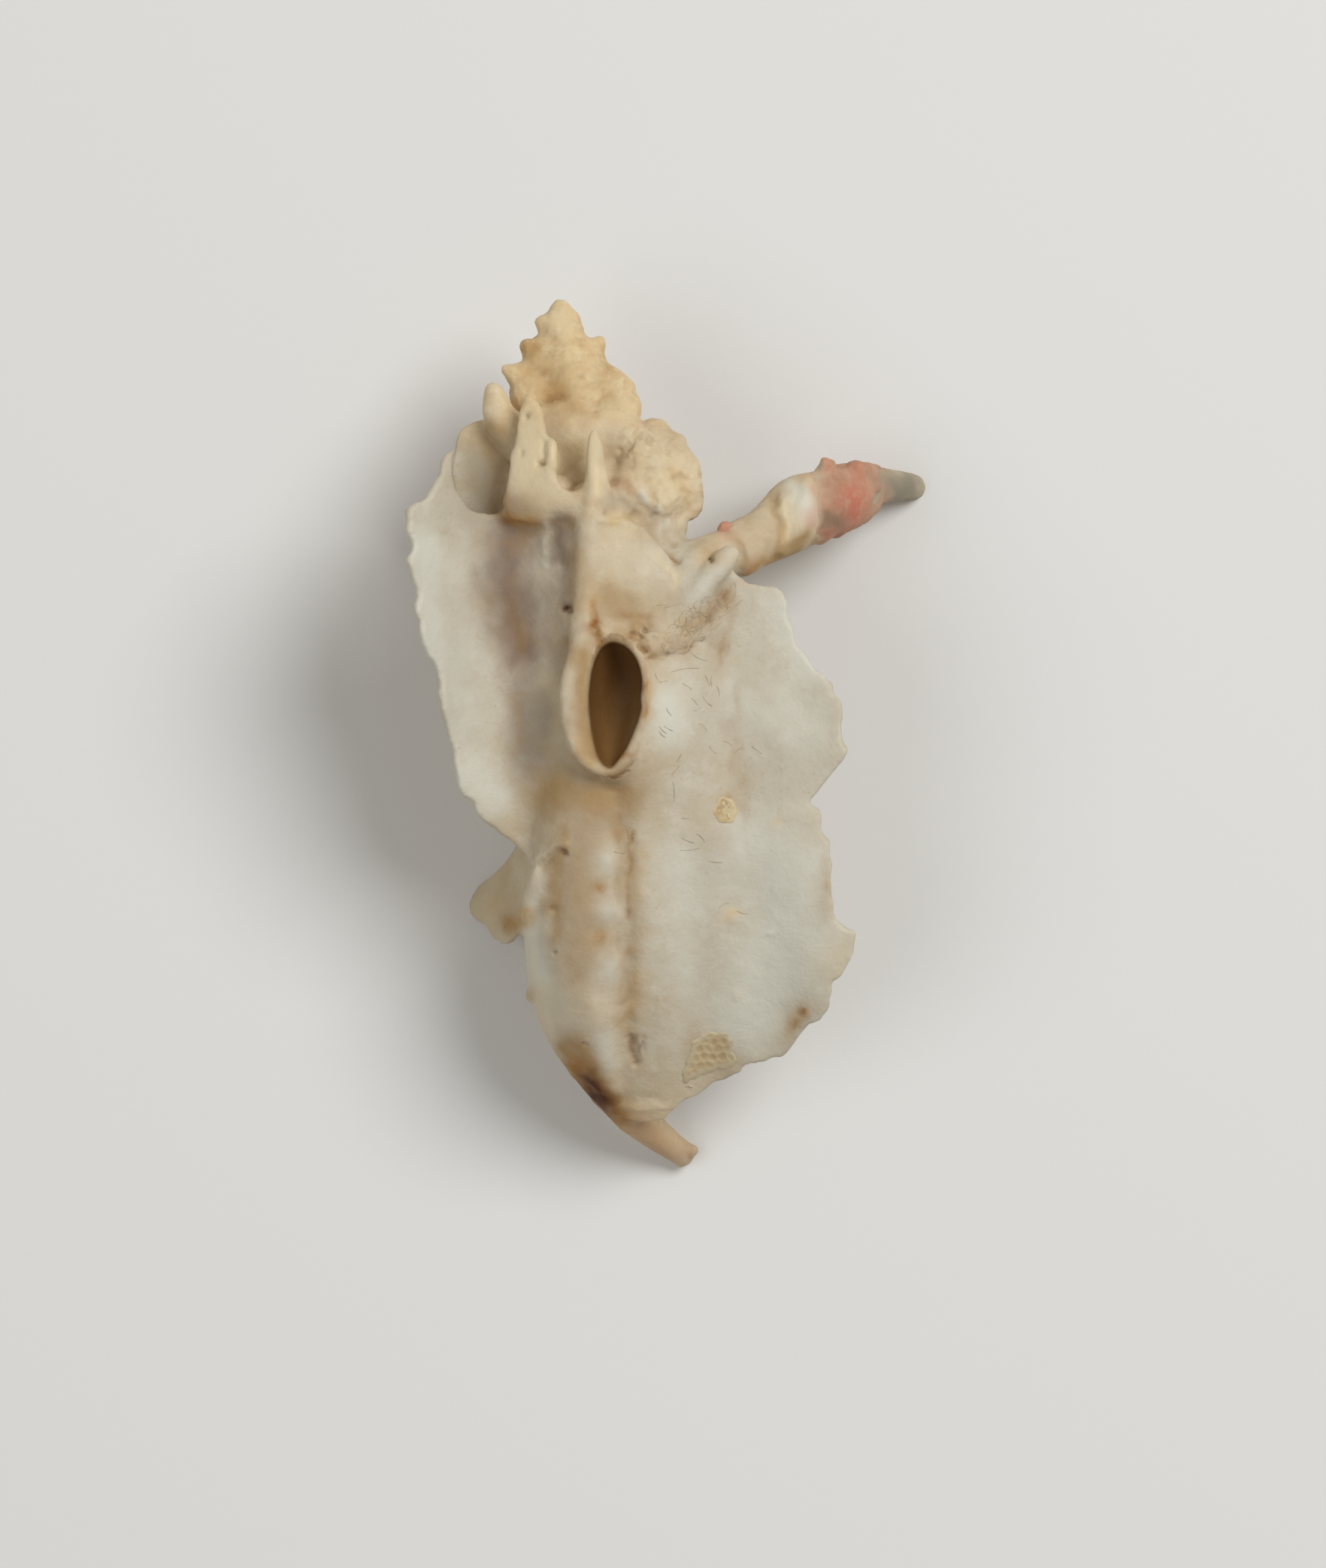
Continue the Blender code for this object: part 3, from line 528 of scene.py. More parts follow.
def makeBore():
    # pointed oval that narrows and turns into the whorl, drawn at the mouth and extruded down in steps
    centre = Vector((*shellForm["boreMiddle"], 0))
    top = shellForm["rimLevel"] + 0.25 * shellForm["boreDepth"]
    bm = bmesh.new()
    mouth = smoothPath([(x, y, top) for x, y in mouthOutline + mouthOutline[:1]], 4)[:-1]
    bm.faces.new([bm.verts.new(point) for point in mouth])
    loop = bm.edges[:]
    oldSize, oldShift, oldPart = 1.0, Vector(), -0.25
    for part in (0.0, 0.1, 0.2, 0.35, 0.5, 0.7, 0.85, 0.95, 1.0):
        size = math.sqrt(1.0 - (max(0.0, part - 0.08) / 0.94) ** 2)
        shift = Vector((0.35, 0.5, 0)) * part ** 2
        made = bmesh.ops.extrude_edge_only(bm, edges=loop)["geom"]
        verts = [item for item in made if isinstance(item, bmesh.types.BMVert)]
        edges = [item for item in made if isinstance(item, bmesh.types.BMEdge)]
        loop = [edge for edge in edges if all(vert in verts for vert in edge.verts)]
        about = Matrix.Translation(-(centre + oldShift))
        bmesh.ops.scale(bm, verts=verts, vec=(size / oldSize, size / oldSize, 1.0), space=about)
        down = Vector((0, 0, (oldPart - part) * shellForm["boreDepth"]))
        bmesh.ops.translate(bm, verts=verts, vec=shift - oldShift + down)
        oldSize, oldShift, oldPart = size, shift, part
    bmesh.ops.holes_fill(bm, edges=loop)
    return makeObject("bore", bm)


def addBrokenShoulder(bm):
    wall = [(-6.25, 8.62), (-6.5, 8.9), (-6.52, 9.3), (-6.45, 9.8), (-6.32, 10.5), (-6.27, 11.15),
            (-6.08, 11.55), (-6.0, 12.3), (-5.9, 13.0), (-5.77, 13.5), (-5.55, 13.78), (-5.36, 13.5),
            (-5.22, 13.2), (-5.02, 12.95), (-4.95, 12.4), (-4.9, 11.95), (-4.78, 11.72), (-4.6, 11.8),
            (-4.46, 11.55), (-4.44, 11.2), (-4.48, 10.7), (-4.5, 10.3), (-4.35, 9.95), (-4.15, 9.72),
            (-3.88, 9.62), (-3.6, 9.72), (-3.38, 9.98), (-3.32, 10.4), (-3.3, 11.2), (-3.22, 11.85),
            (-3.02, 12.18), (-2.88, 12.05), (-2.72, 11.7), (-2.58, 11.1), (-2.48, 10.3), (-2.25, 9.6),
            (-2.2, 8.6), (-2.6, 7.4), (-3.4, 7.0), (-3.7, 7.5), (-3.8, 8.3), (-3.95, 8.75), (-4.35, 8.9),
            (-4.75, 8.75), (-5.0, 8.45), (-5.5, 8.5)]

    def wallSurface(x, y):
        level = 10.1 - 0.08 * (x + 3.6) ** 2 - 0.1 * abs(y - 9.8) - 0.5 * ramp(-y, -9.0, -8.0)
        return Vector((x, y, level))

    addSheet(bm, wall, wallSurface, lambda x, y: 0.5)
    addTube(bm, [(-4.68, 11.5, 9.92, 0.22), (-4.72, 10.9, 10.0, 0.29), (-4.76, 10.2, 9.97, 0.3)])
    # the wall's foot meets the wing
    addTube(bm, [(-6.2, 8.85, 9.05, 0.4), (-5.5, 8.65, 9.15, 0.42), (-4.9, 8.6, 9.2, 0.4)])
    addBall(bm, (-1.95, 9.3, 9.05), (0.85, 0.85, 0.8))
    addTube(bm, [(-4.35, 9.0, 9.4, 0.66), (-4.2, 8.4, 9.25, 0.62), (-3.98, 7.6, 9.2, 0.68),
                 (-3.95, 5.3, 9.25, 0.66)])
    addTube(bm, [(-2.98, 11.4, 10.0, 0.26), (-2.98, 10.4, 10.15, 0.34), (-3.0, 9.4, 10.15, 0.45),
                 (-3.15, 8.2, 10.1, 0.55), (-3.3, 6.8, 10.05, 0.55), (-3.4, 5.4, 10.1, 0.52),
                 (-3.5, 4.2, 10.3, 0.5), (-3.6, 3.2, 10.5, 0.5)])
    addTube(bm, [(-3.0, 9.2, 9.4, 0.95), (-3.2, 6.8, 9.2, 1.0), (-3.4, 4.4, 9.4, 1.0)])
    addBall(bm, (-4.9, 9.1, 8.6), (1.7, 1.3, 1.15))
    addTube(bm, [(-6.0, 11.4, 7.2, 0.9), (-4.9, 11.9, 7.35, 1.2), (-3.6, 12.15, 7.55, 1.3),
                 (-2.3, 12.2, 7.6, 1.1)])
    addTube(bm, [(-5.35, 12.7, 7.95, 0.4), (-4.5, 12.98, 8.15, 0.4), (-3.7, 13.1, 8.1, 0.42)])


def addSpireGrowths(bm):
    addTube(bm, [(-5.0, 11.0, 7.6, 1.0), (-6.3, 12.1, 8.0, 0.8), (-6.85, 12.9, 8.1, 0.66),
                 (-7.02, 13.7, 8.0, 0.46)])
    lobe = [(-6.2, 12.7), (-6.9, 12.55), (-7.4, 12.6), (-7.9, 12.45), (-8.35, 12.15), (-8.5, 11.8),
            (-8.58, 11.3), (-8.75, 10.4), (-8.4, 9.2), (-7.4, 8.5), (-5.0, 8.0), (-4.0, 9.0), (-4.5, 12.0)]
    addSheet(bm, lobe, lambda x, y: Vector((x, y, 7.4 + 0.1 * (x + 8))), lambda x, y: 0.45)
    spikes = [((-4.6, 13.9, 6.6, 0.8), (-6.1, 14.4, 7.0, 0.5), (-6.55, 14.62, 7.1, 0.27)),
              ((-4.6, 15.1, 6.4, 0.8), (-5.3, 15.35, 6.6, 0.6), (-5.65, 15.5, 6.7, 0.4)),
              ((-4.5, 16.1, 6.3, 0.6), (-4.9, 16.35, 6.4, 0.48), (-5.15, 16.5, 6.4, 0.3)),
              ((-3.8, 15.3, 6.5, 0.6), (-3.0, 15.45, 6.6, 0.45), (-2.78, 15.7, 6.6, 0.33)),
              ((-4.2, 15.2, 5.9, 0.6), (-4.3, 15.5, 5.4, 0.42), (-4.3, 15.65, 5.1, 0.32)),
              ((-3.9, 13.2, 5.8, 0.9), (-4.1, 13.7, 5.0, 0.62), (-4.2, 13.95, 4.6, 0.42)),
              ((-3.6, 10.6, 5.8, 1.1), (-3.85, 11.4, 4.6, 0.85), (-4.0, 11.9, 4.0, 0.55))]
    for stations in spikes:
        addTube(bm, stations)
    crusts = [(-2.5, 14.0, 7.0, 0.8), (-2.05, 13.6, 7.1, 0.8), (-1.95, 13.0, 7.3, 0.85),
              (-2.6, 12.7, 7.6, 0.9), (-0.65, 11.9, 7.4, 0.75), (0.0, 11.35, 7.6, 0.8),
              (0.45, 10.5, 7.8, 0.85), (0.6, 9.8, 7.9, 0.75), (-1.3, 11.2, 8.0, 1.0),
              (-0.7, 10.5, 8.2, 1.0), (-0.4, 9.4, 8.4, 1.0), (-1.5, 9.8, 8.4, 1.0), (0.15, 8.3, 8.0, 0.6),
              (0.3, 7.6, 8.0, 0.5), (-4.1, 14.9, 6.5, 1.15), (-4.9, 14.65, 6.6, 0.95),
              (-3.1, 13.5, 7.0, 1.15), (-3.3, 14.5, 6.7, 1.0), (-4.9, 15.2, 6.4, 0.8),
              (-5.4, 13.6, 7.0, 1.0), (-0.5, 8.7, 8.1, 1.0), (-1.5, 8.9, 8.5, 0.95),
              (-0.95, 8.35, 8.45, 0.9), (-0.35, 7.95, 8.3, 0.8), (-4.35, 16.3, 6.3, 0.8),
              (0.7, 9.2, 7.7, 0.7), (-1.9, 11.8, 7.9, 1.0), (-3.0, 11.6, 7.6, 1.2)]
    for x, y, z, radius in crusts:
        addBall(bm, (x, y, z), (radius, radius, radius * 0.9), lumps=0.16, grain=0.7)


# relief and markings on the upper side, as markMask reads them; push is in millimetres
shellMarks = {
    "push": [
        (-4.95, 8.3, -4.93, 7.5, -4.97, 6.6, 0.16, 0.03), (-4.9, 8.3, 0.14, 0.04), (-5.0, 7.7, 0.12, 0.03),
        (-4.92, 7.2, 0.12, 0.025), (-5.0, 6.7, 0.12, 0.03), (-4.4, 8.3, -4.35, 6.8, 0.35, -0.08),
        (-4.3, 6.8, -4.25, 5.6, 0.35, -0.05),
        (-2.7, 8.55, -1.8, 8.42, -1.2, 8.2, -0.7, 7.7, -0.3, 7.2, 0.0, 6.7, 0.08, 6.3, 0.14, 0.09),
        (-2.5, 8.85, -1.7, 8.7, -1.0, 8.45, -0.45, 7.9, -0.05, 7.35, 0.28, 6.8, 0.15, -0.1),
        (-4.07, 4.95, 0.16, -0.35), (-3.0, 4.3, -2.85, 3.85, 0.14, -0.1), (-5.7, 12.65, 0.12, -0.12),
        (-5.12, 10.75, 0.13, -0.24), (-5.85, 11.2, 0.13, -0.06), (-4.65, 11.5, -4.6, 10.6, 0.17, 0.1),
        (-5.6, 9.9, 0.25, -0.04), (-0.93, 4.08, 0.12, -0.26), (-1.49, 3.97, 0.11, -0.2),
        (-1.12, 3.47, -0.88, 3.3, 0.1, -0.2), (-1.2, 3.85, -1.0, 3.68, 0.08, -0.14),
        (-0.6, 3.7, 0.1, -0.14), (-1.25, 4.3, 0.1, -0.1), (-1.75, 3.75, 0.08, -0.08),
        (-1.35, 3.62, -0.75, 3.5, -0.5, 3.2, 0.1, 0.07),
        (-0.8, 3.05, -0.1, 3.08, 0.4, 3.27, 0.82, 3.33, 1.08, 3.59, 1.33, 3.65, 0.1, -0.1),
        (1.63, 6.99, 0.11, -0.28), (-4.85, 14.1, -4.6, 13.8, 0.7, -0.16), (-2.25, 10.8, 0.3, -0.06),
        (-5.04, 11.7, -5.0, 10.7, 0.09, -0.07), (2.55, 8.15, 2.95, 7.7, 3.15, 7.0, 3.1, 6.3, 0.22, 0.13),
        (2.9, 8.3, 3.4, 7.7, 3.5, 7.0, 0.25, -0.07), (4.15, 9.4, 4.3, 8.6, 4.3, 8.0, 4.1, 7.2, 0.3, -0.14),
        (4.5, 9.2, 4.65, 8.5, 4.7, 7.9, 4.5, 7.3, 0.22, 0.12),
        (5.0, 10.3, 5.05, 9.4, 5.0, 8.6, 0.22, -0.06), (5.5, 10.2, 5.5, 9.2, 5.3, 8.2, 0.4, 0.12),
        (-2.46, -5.1, 0.55, 0.15), (-2.46, -7.1, 0.6, 0.15), (-2.46, -9.4, 0.7, 0.14),
        (-2.7, -13.1, 0.5, 0.08), (-2.3, -3.0, 0.5, 0.06), (-2.6, -11.4, 0.6, 0.08),
        (-1.5, -4.0, -1.55, -5.1, -1.65, -7.25, 0.14, -0.03),
        (-1.65, -7.25, -1.5, -9.0, -1.6, -11.5, 0.25, -0.05), (-2.0, -3.4, -1.6, -4.2, 0.12, -0.03),
        (-1.15, -4.4, -1.2, -6.4, 0.2, 0.03), (-1.5, -12.2, -1.35, -13.2, 0.16, -0.16),
        (-1.05, -12.2, -1.1, -12.75, 0.09, -0.08), (-1.45, -8.75, 0.25, 0.07),
        (-2.1, -11.3, -1.5, -11.1, 0.25, 0.06), (-1.3, -9.9, -1.9, -10.6, 0.2, 0.05),
        (-4.17, -4.75, 0.13, -0.17), (-4.65, -7.0, 0.14, -0.08), (-4.53, -8.75, 0.1, -0.08),
        (-3.34, -12.4, 0.1, -0.08), (-4.45, -5.4, -4.55, -7.5, 0.45, -0.1),
        (-5.35, -5.1, -4.9, -4.75, -4.5, -4.5, -4.1, -4.42, 0.15, 0.14),
        (-5.1, -5.35, -4.75, -5.0, -4.4, -4.8, 0.16, -0.12),
        (-1.9, -14.95, -1.0, -15.05, -0.2, -15.0, 0.15, 0.06), (-1.7, -14.6, -0.5, -14.7, 0.2, -0.05),
        (4.2, -3.65, 0.25, 0.04), (2.57, -7.35, 0.25, 0.06), (4.06, -7.96, 0.12, 0.06),
        (4.25, -6.2, 0.1, 0.04), (2.7, -10.5, 0.22, 0.05), (5.34, -11.1, 0.2, 0.04),
        (3.6, 5.2, 2.6, 3.2, 2.1, 0.8, 0.2, 0.05), (3.0, 5.6, 2.2, 4.0, 1.7, 2.0, 0.2, -0.025),
        (4.6, -3.2, 5.6, -3.4, 0.3, 0.04), (-1.1, 12.1, -1.5, 11.6, -2.0, 11.2, 0.16, -0.2),
        (-2.4, 14.7, -2.3, 13.9, -2.9, 13.0, 0.2, -0.14), (0.55, 10.35, 0.75, 10.2, 0.11, -0.1),
        (0.15, 10.2, 0.3, 10.05, 0.12, -0.08), (-0.1, 9.7, 0.1, 9.0, 0.12, -0.06),
        (0.8, 10.9, 0.6, 10.6, 0.11, -0.06), (0.9, 9.6, 0.6, 9.8, 0.12, -0.07),
        (-0.9, 11.6, -0.3, 11.9, 0.14, -0.05), (0.7, 9.3, 0.75, 8.9, 0.1, -0.06),
        (-1.5, 9.6, -1.2, 9.1, -0.7, 8.6, 0.15, -0.07), (-0.8, 9.9, -0.55, 9.2, 0.14, -0.05),
        (-1.9, 9.2, -1.3, 8.7, 0.14, -0.05), (-0.2, 8.9, -0.1, 8.0, 0.12, -0.07),
        (0.35, 9.2, 0.35, 8.5, 0.12, -0.05), (0.0, 12.3, 0.6, 11.6, 1.0, 10.7, 0.14, -0.06),
        (-1.9, 10.1, -1.4, 9.7, 0.15, 0.05), (-8.2, 9.4, -7.2, 8.7, 0.25, 0.05),
        (-1.1, 9.7, -1.0, 9.2, 0.14, 0.07), (-0.5, 8.9, 0.16, 0.06), (-0.1, 8.5, -0.3, 8.1, 0.13, 0.06),
        (-1.4, 9.0, 0.12, 0.05),
    ],
    "stain": [
        (-3.05, 5.3, -2.95, 4.4, 0.14, 0.8), (-3.0, 4.3, -2.82, 3.75, 0.26, 1.1), (-0.93, 1.8, 0.18, 0.85),
        (-0.88, 1.1, -0.95, 0.6, 0.18, 0.7), (-1.0, 2.9, -0.9, 1.6, -1.1, 0.2, 0.2, 0.35),
        (-1.75, -0.9, 0.18, 0.85), (-1.4, 3.9, -0.7, 3.2, 0.4, 0.45), (-2.74, -6.2, 0.26, 0.8),
        (-2.74, -8.2, 0.28, 0.7), (-1.5, -3.9, -1.55, -5.1, -1.65, -7.25, 0.12, 0.5),
        (-2.0, -3.95, 0.3, 0.35), (-1.45, -8.7, 0.28, 0.5), (-1.4, -9.7, -1.8, -10.6, 0.25, 0.25),
        (-2.1, -11.3, -1.5, -11.1, 0.3, 0.3), (-1.5, -12.0, -1.3, -13.3, 0.3, 0.35),
        (-6.4, -7.75, 0.4, 0.65), (-6.0, -7.6, 0.25, 0.4), (-4.65, -7.0, 0.26, 0.6),
        (-3.6, -13.3, -2.8, -14.4, -2.1, -15.2, 0.5, 1.0), (-5.6, -10.6, 0.3, 0.4),
        (5.34, -11.1, 0.24, 1.0), (5.04, -11.7, 0.24, 0.9), (2.3, -2.6, 0.22, 0.45), (6.3, -6.1, 0.16, 0.4),
        (2.45, -2.9, 3.7, -3.4, 0.1, 0.1), (-6.85, 10.6, -6.7, 9.8, -6.6, 9.0, 0.3, 0.15),
        # the line under the broken wall's lower edge, from (-6.5, 8.6) to (-5.3, 8.4), is partly stain and
        # partly painted shadow
        (-6.5, 8.6, -5.7, 8.35, -5.3, 8.4, 0.25, 0.6), (-5.5, 15.5, 0.38, 0.55), (-4.5, 13.5, 0.55, 0.3),
        (-2.45, 14.6, 0.3, 0.4), (-2.2, 10.0, -1.7, 10.0, -1.35, 9.5, 0.16, 0.45),
        (1.6, 4.7, 2.2, 5.5, 0.3, 0.3), (3.1, 6.9, 3.3, 6.4, 0.3, 0.35), (2.6, 7.9, 3.0, 7.3, 0.25, 0.35),
        (4.25, 7.6, 4.1, 7.1, 0.25, 0.2),
    ],
    "dark": [
        (-4.07, 4.95, 0.13, 0.9), (-0.93, 4.08, 0.1, 0.6), (-1.49, 3.97, 0.09, 0.45),
        (-1.12, 3.47, -0.88, 3.3, 0.08, 0.55), (-1.2, 3.85, -1.0, 3.68, 0.06, 0.4), (-5.7, 12.65, 0.1, 0.4),
        (-5.12, 10.75, 0.1, 0.6), (-5.85, 11.2, 0.11, 0.25),
        (-0.1, 3.08, 0.4, 3.27, 0.82, 3.33, 1.08, 3.59, 1.33, 3.65, 0.06, 0.35),
        (1.6, 4.6, 2.2, 5.35, 0.09, 0.3), (1.1, 4.1, 1.5, 4.7, 0.07, 0.25),
        (0.6, 3.5, 1.0, 3.9, 0.07, 0.25), (1.95, 4.9, 2.5, 5.9, 0.06, 0.25), (1.63, 6.99, 0.1, 0.7),
        (-3.0, 4.4, -2.8, 3.75, 0.1, 0.3), (-1.5, -3.95, -1.55, -4.7, 0.07, 0.2),
        (-1.5, -12.2, -1.37, -13.15, 0.13, 0.4), (-1.05, -12.2, -1.1, -12.75, 0.06, 0.35),
        (-4.17, -4.75, 0.12, 0.45), (-4.65, -7.0, 0.1, 0.4), (-4.53, -8.75, 0.06, 0.6),
        (-3.34, -12.4, 0.06, 0.6), (-3.25, -13.95, -2.9, -14.45, -2.55, -14.9, 0.42, 1.0),
        (5.35, -11.05, 0.13, 0.4), (5.02, -11.65, 0.1, 0.3), (0.2, 10.15, 0.6, 10.3, 0.1, 0.15),
        (0.86, -17.02, 0.16, 0.35), (-1.6, 1.15, 0.13, 0.7),
    ],
    # broad brown stains, and painted shade under the aperture, in the spire's hollow, left of the broken
    # wall, along the spine's lower side and in the gap below the spire
    "brownStainAndShade": [
        (-4.6, -2.6, -3.4, -2.6, -1.7, -2.5, 1.1, 0.75), (-4.4, -4.0, -4.5, -5.6, -4.5, -8.0, 0.5, 0.6),
        (-4.2, -3.4, 0.6, 0.3), (-3.5, -3.6, -3.4, -9.0, 0.9, 0.42),
        (-1.7, -4.0, -1.6, -7.0, -1.6, -11.8, 0.4, 0.3), (-1.8, -10.6, 0.6, 0.25),
        (-4.0, -12.6, -3.1, -14.2, -2.0, -15.5, 0.65, 0.85), (-1.9, -15.4, -0.2, -16.8, 0.8, 0.45),
        (-5.0, 1.5, -4.7, -1.5, 0.5, 0.15), (-3.9, 0.2, -3.2, -1.2, 0.35, 0.5),
        (-3.5, 3.2, -3.6, 0.4, -3.0, -0.7, 0.6, 0.8), (-4.9, 14.3, -4.3, 13.5, 0.8, 0.42),
        (-5.7, 15.3, -5.3, 14.6, 0.5, 0.45), (-5.0, 12.5, -4.4, 12.6, 0.6, 0.22), (-3.8, 12.8, 0.6, 0.5),
        (-3.95, 10.5, -3.8, 9.9, 0.35, 0.3), (-7.0, 12.0, -6.8, 10.4, -6.7, 9.2, 0.5, 0.58),
        (-8.0, 10.3, 0.8, 0.2), (-6.5, 4.9, -6.1, 3.7, 0.6, 0.2), (-6.4, 9.2, -5.2, 8.8, 0.4, 0.25),
        (-7.2, 11.6, -6.5, 9.2, 0.6, 0.25), (-2.5, 5.2, -1.4, 4.5, 0.6, 0.62),
        (0.0, 12.1, 0.6, 11.5, 0.5, 0.15), (-2.6, 14.3, -2.4, 13.4, 0.4, 0.3),
        (0.4, 3.6, 1.3, 4.5, 2.3, 5.6, 0.5, 0.45), (1.9, 3.4, 1.8, 1.4, 0.6, 0.2),
        (3.2, 6.5, 4.6, 7.1, 5.8, 7.8, 0.35, 0.8), (4.15, 9.4, 4.3, 8.4, 4.15, 7.3, 0.25, 0.55),
        (1.4, 7.2, 2.0, 6.9, 0.4, 0.3), (3.6, 8.3, 0.7, 0.2), (1.3, -12.5, 1.9, -13.4, 0.9, 0.4),
        (5.2, -11.4, 0.6, 0.35), (4.9, -12.1, 0.6, 0.3), (2.3, -2.8, 0.5, 0.2),
        (6.2, -5.2, 6.4, -7.4, 0.35, 0.25), (-3.4, 7.6, -3.5, 4.8, 0.5, 0.45),
        (-3.0, 6.0, -2.8, 4.6, 0.3, 0.3), (-6.6, -5.0, -6.3, -7.6, 0.45, 0.3),
        (-0.7, 8.2, 0.2, 7.8, 0.4, 0.25),
    ],
    # painted shade, grey-lilac: the left wing's valley, the recess beside the column, the canal's middle
    # and slopes turned from the key lamp; in places the shell's own lilac tint
    "paintedShade": [
        (-6.3, 8.2, -6.4, 6.0, -6.1, 4.0, 1.2, 0.9), (-5.7, 4.5, -5.7, 2.0, -5.4, -1.0, 0.9, 0.5),
        (-4.25, 8.3, -4.2, 7.0, 0.55, 0.85), (-4.2, 7.0, -4.15, 5.2, 0.45, 0.6),
        (-2.1, 9.5, -1.7, 8.9, 0.5, 0.35), (-2.3, 10.9, 0.35, 0.2), (-5.1, 5.4, -4.8, 3.6, 0.9, 0.5),
        (-1.2, 9.2, -0.5, 8.7, 0.35, 0.35), (-0.75, 9.3, -0.9, 8.8, 0.14, 0.5),
        (2.0, -4.8, 3.4, -6.0, 1.0, 0.12), (-6.5, 5.4, -6.1, 3.4, 1.0, 1.0),
        (-3.5, -3.2, -3.6, -9.0, 1.2, 0.3), (-3.7, -11.0, -3.4, -12.6, 0.9, 0.2),
        (2.2, 0.8, 4.5, -1.2, 6.3, -1.6, 0.9, 0.1), (-8.3, 5.0, -8.2, 0.5, 0.9, 0.1),
    ],
    # grey on the thin spine tip and the back lobes: partly their thin clear shell, partly painted shade
    "thin": [
        (9.9, 10.0, 8.9, 10.05, 0.75, 1.0), (-8.1, 11.6, -8.0, 9.4, 0.9, 0.3),
        (-7.3, -5.2, -7.2, -7.2, 0.9, 0.15), (0.9, -17.0, 0.5, 0.3),
    ],
    # worn white patches, beads and knobs, and painted light: highlights on the bulge by the crust and on
    # the rim's outer edge, and the canal's left flank lightened where it turns from the key lamp
    "paleAndPaintedLight": [
        (-0.1, 1.2, 0.1, 0.3, 0.9, 0.8), (-2.46, -5.1, 0.45, 0.65), (-2.46, -7.1, 0.5, 0.65),
        (-2.46, -9.4, 0.6, 0.65), (-2.7, -12.4, -2.6, -13.1, 0.5, 0.5), (5.2, 9.9, 5.6, 8.9, 0.5, 0.8),
        (2.4, 7.1, 1.1, 5.5, 0.4, 0.5), (-9.7, 7.5, -9.3, 3.0, 0.9, 0.8), (-8.6, 6.5, -8.2, 0.5, 1.0, 0.5),
        (-8.0, -1.6, -7.0, -2.4, 1.0, 0.7), (4.6, 5.0, 5.6, 2.5, 0.8, 0.6), (2.6, 1.6, 5.4, 0.2, 1.6, 0.5),
        (3.4, -4.4, 5.2, -5.2, 1.4, 0.7), (-5.3, -8.0, -5.1, -9.6, 0.6, 0.7),
        (-4.9, -9.8, -4.3, -11.8, 0.8, 0.3), (-5.0, -5.6, -5.5, -6.8, 0.28, 0.5),
        (0.4, -5.0, 0.8, -10.0, 1.0, 0.5), (4.2, -5.5, 4.8, -8.2, 3.2, -11.2, 2.2, 0.75),
        (6.6, -8.8, 1.0, 0.3), (-7.0, 13.9, -7.1, 13.0, 0.6, 0.25), (-4.9, 8.3, 0.14, 0.4),
        (-5.0, 7.7, 0.12, 0.25), (-4.95, 6.7, 0.12, 0.25), (4.25, -6.2, 0.12, 1.0), (3.7, -6.4, 0.1, 1.0),
        (4.06, -7.96, 0.15, 1.0), (5.0, -6.05, 0.1, 0.9), (-4.08, 1.5, -3.8, -0.3, 0.16, 0.4),
        (-1.1, 9.7, -1.0, 9.2, 0.16, 0.6), (-0.5, 8.9, 0.2, 0.5), (-0.1, 8.5, -0.3, 8.1, 0.16, 0.5),
    ],
    "blush": [
        (5.95, 10.5, 5.9, 8.3, 0.3, 0.4), (8.05, 10.8, 8.05, 9.4, 0.42, 1.0),
        (-1.4, -15.9, 0.6, -16.9, 0.8, 0.2), (2.3, 8.0, 0.45, 0.5), (3.2, 6.9, 3.1, 6.3, 0.3, 0.25),
        (-2.2, 9.9, -1.5, 9.8, 0.25, 0.12),
    ],
    "gold": [
        (-5.65, -7.2, 0.32, 1.0), (-6.1, -7.6, 0.35, 0.8), (-6.9, -6.9, 0.4, 0.35),
        # the ochre line under the broken wall's lower edge, from (-6.5, 8.75) to (-5.3, 8.35), is partly
        # stain and partly painted shadow
        (-3.05, 5.6, -2.95, 4.6, 0.2, 0.6), (-6.5, 8.75, -5.8, 8.45, -5.3, 8.35, 0.22, 0.7),
        (-4.6, 13.6, -4.3, 13.9, 0.55, 0.5), (-2.2, 8.4, 0.3, 0.45), (2.57, -7.37, 0.24, 0.45),
        (4.37, -3.7, 0.25, 0.25), (-1.3, -4.6, -1.3, -6.8, 0.25, 0.35),
        (-1.25, -9.4, -1.3, -10.6, -1.7, -11.6, 0.35, 0.4), (-0.9, 1.9, -0.9, 0.6, 0.22, 0.6),
        (-3.9, -0.2, -3.2, -1.25, 0.2, 0.45), (0.1, 10.4, 0.7, 9.6, 0.35, 0.4), (-5.4, 15.6, 0.4, 0.3),
        (5.5, 10.35, 0.3, 0.5), (4.5, 8.3, 4.5, 7.4, 0.2, 0.5), (5.34, -11.1, 5.04, -11.7, 0.4, 0.3),
        (-2.74, -8.3, 0.3, 0.3), (2.26, -2.75, 0.4, 0.3), (-2.4, -4.1, -1.8, -3.9, 0.3, 0.35),
        (0.2, 4.2, 1.2, 4.4, 0.5, 0.3),
    ],
    # cream tone of the plate, prongs, bulge, apex and lobes, and painted light lifting the rim's outer
    # foot, the canal's left flank and the dorsal lobe, which lie in shade
    "cream": [
        (-5.6, 12.2, -5.4, 9.9, 0.8, 0.8), (-5.3, -7.8, -4.6, -11.4, 0.7, 0.5),
        (-2.95, 11.9, -2.9, 9.8, 0.4, 0.9), (-3.95, 11.6, -3.9, 10.7, 0.42, 0.8),
        (-4.6, 2.2, -4.6, -0.8, 0.3, 0.4), (-4.65, 11.5, -4.62, 10.4, 0.28, 1.0),
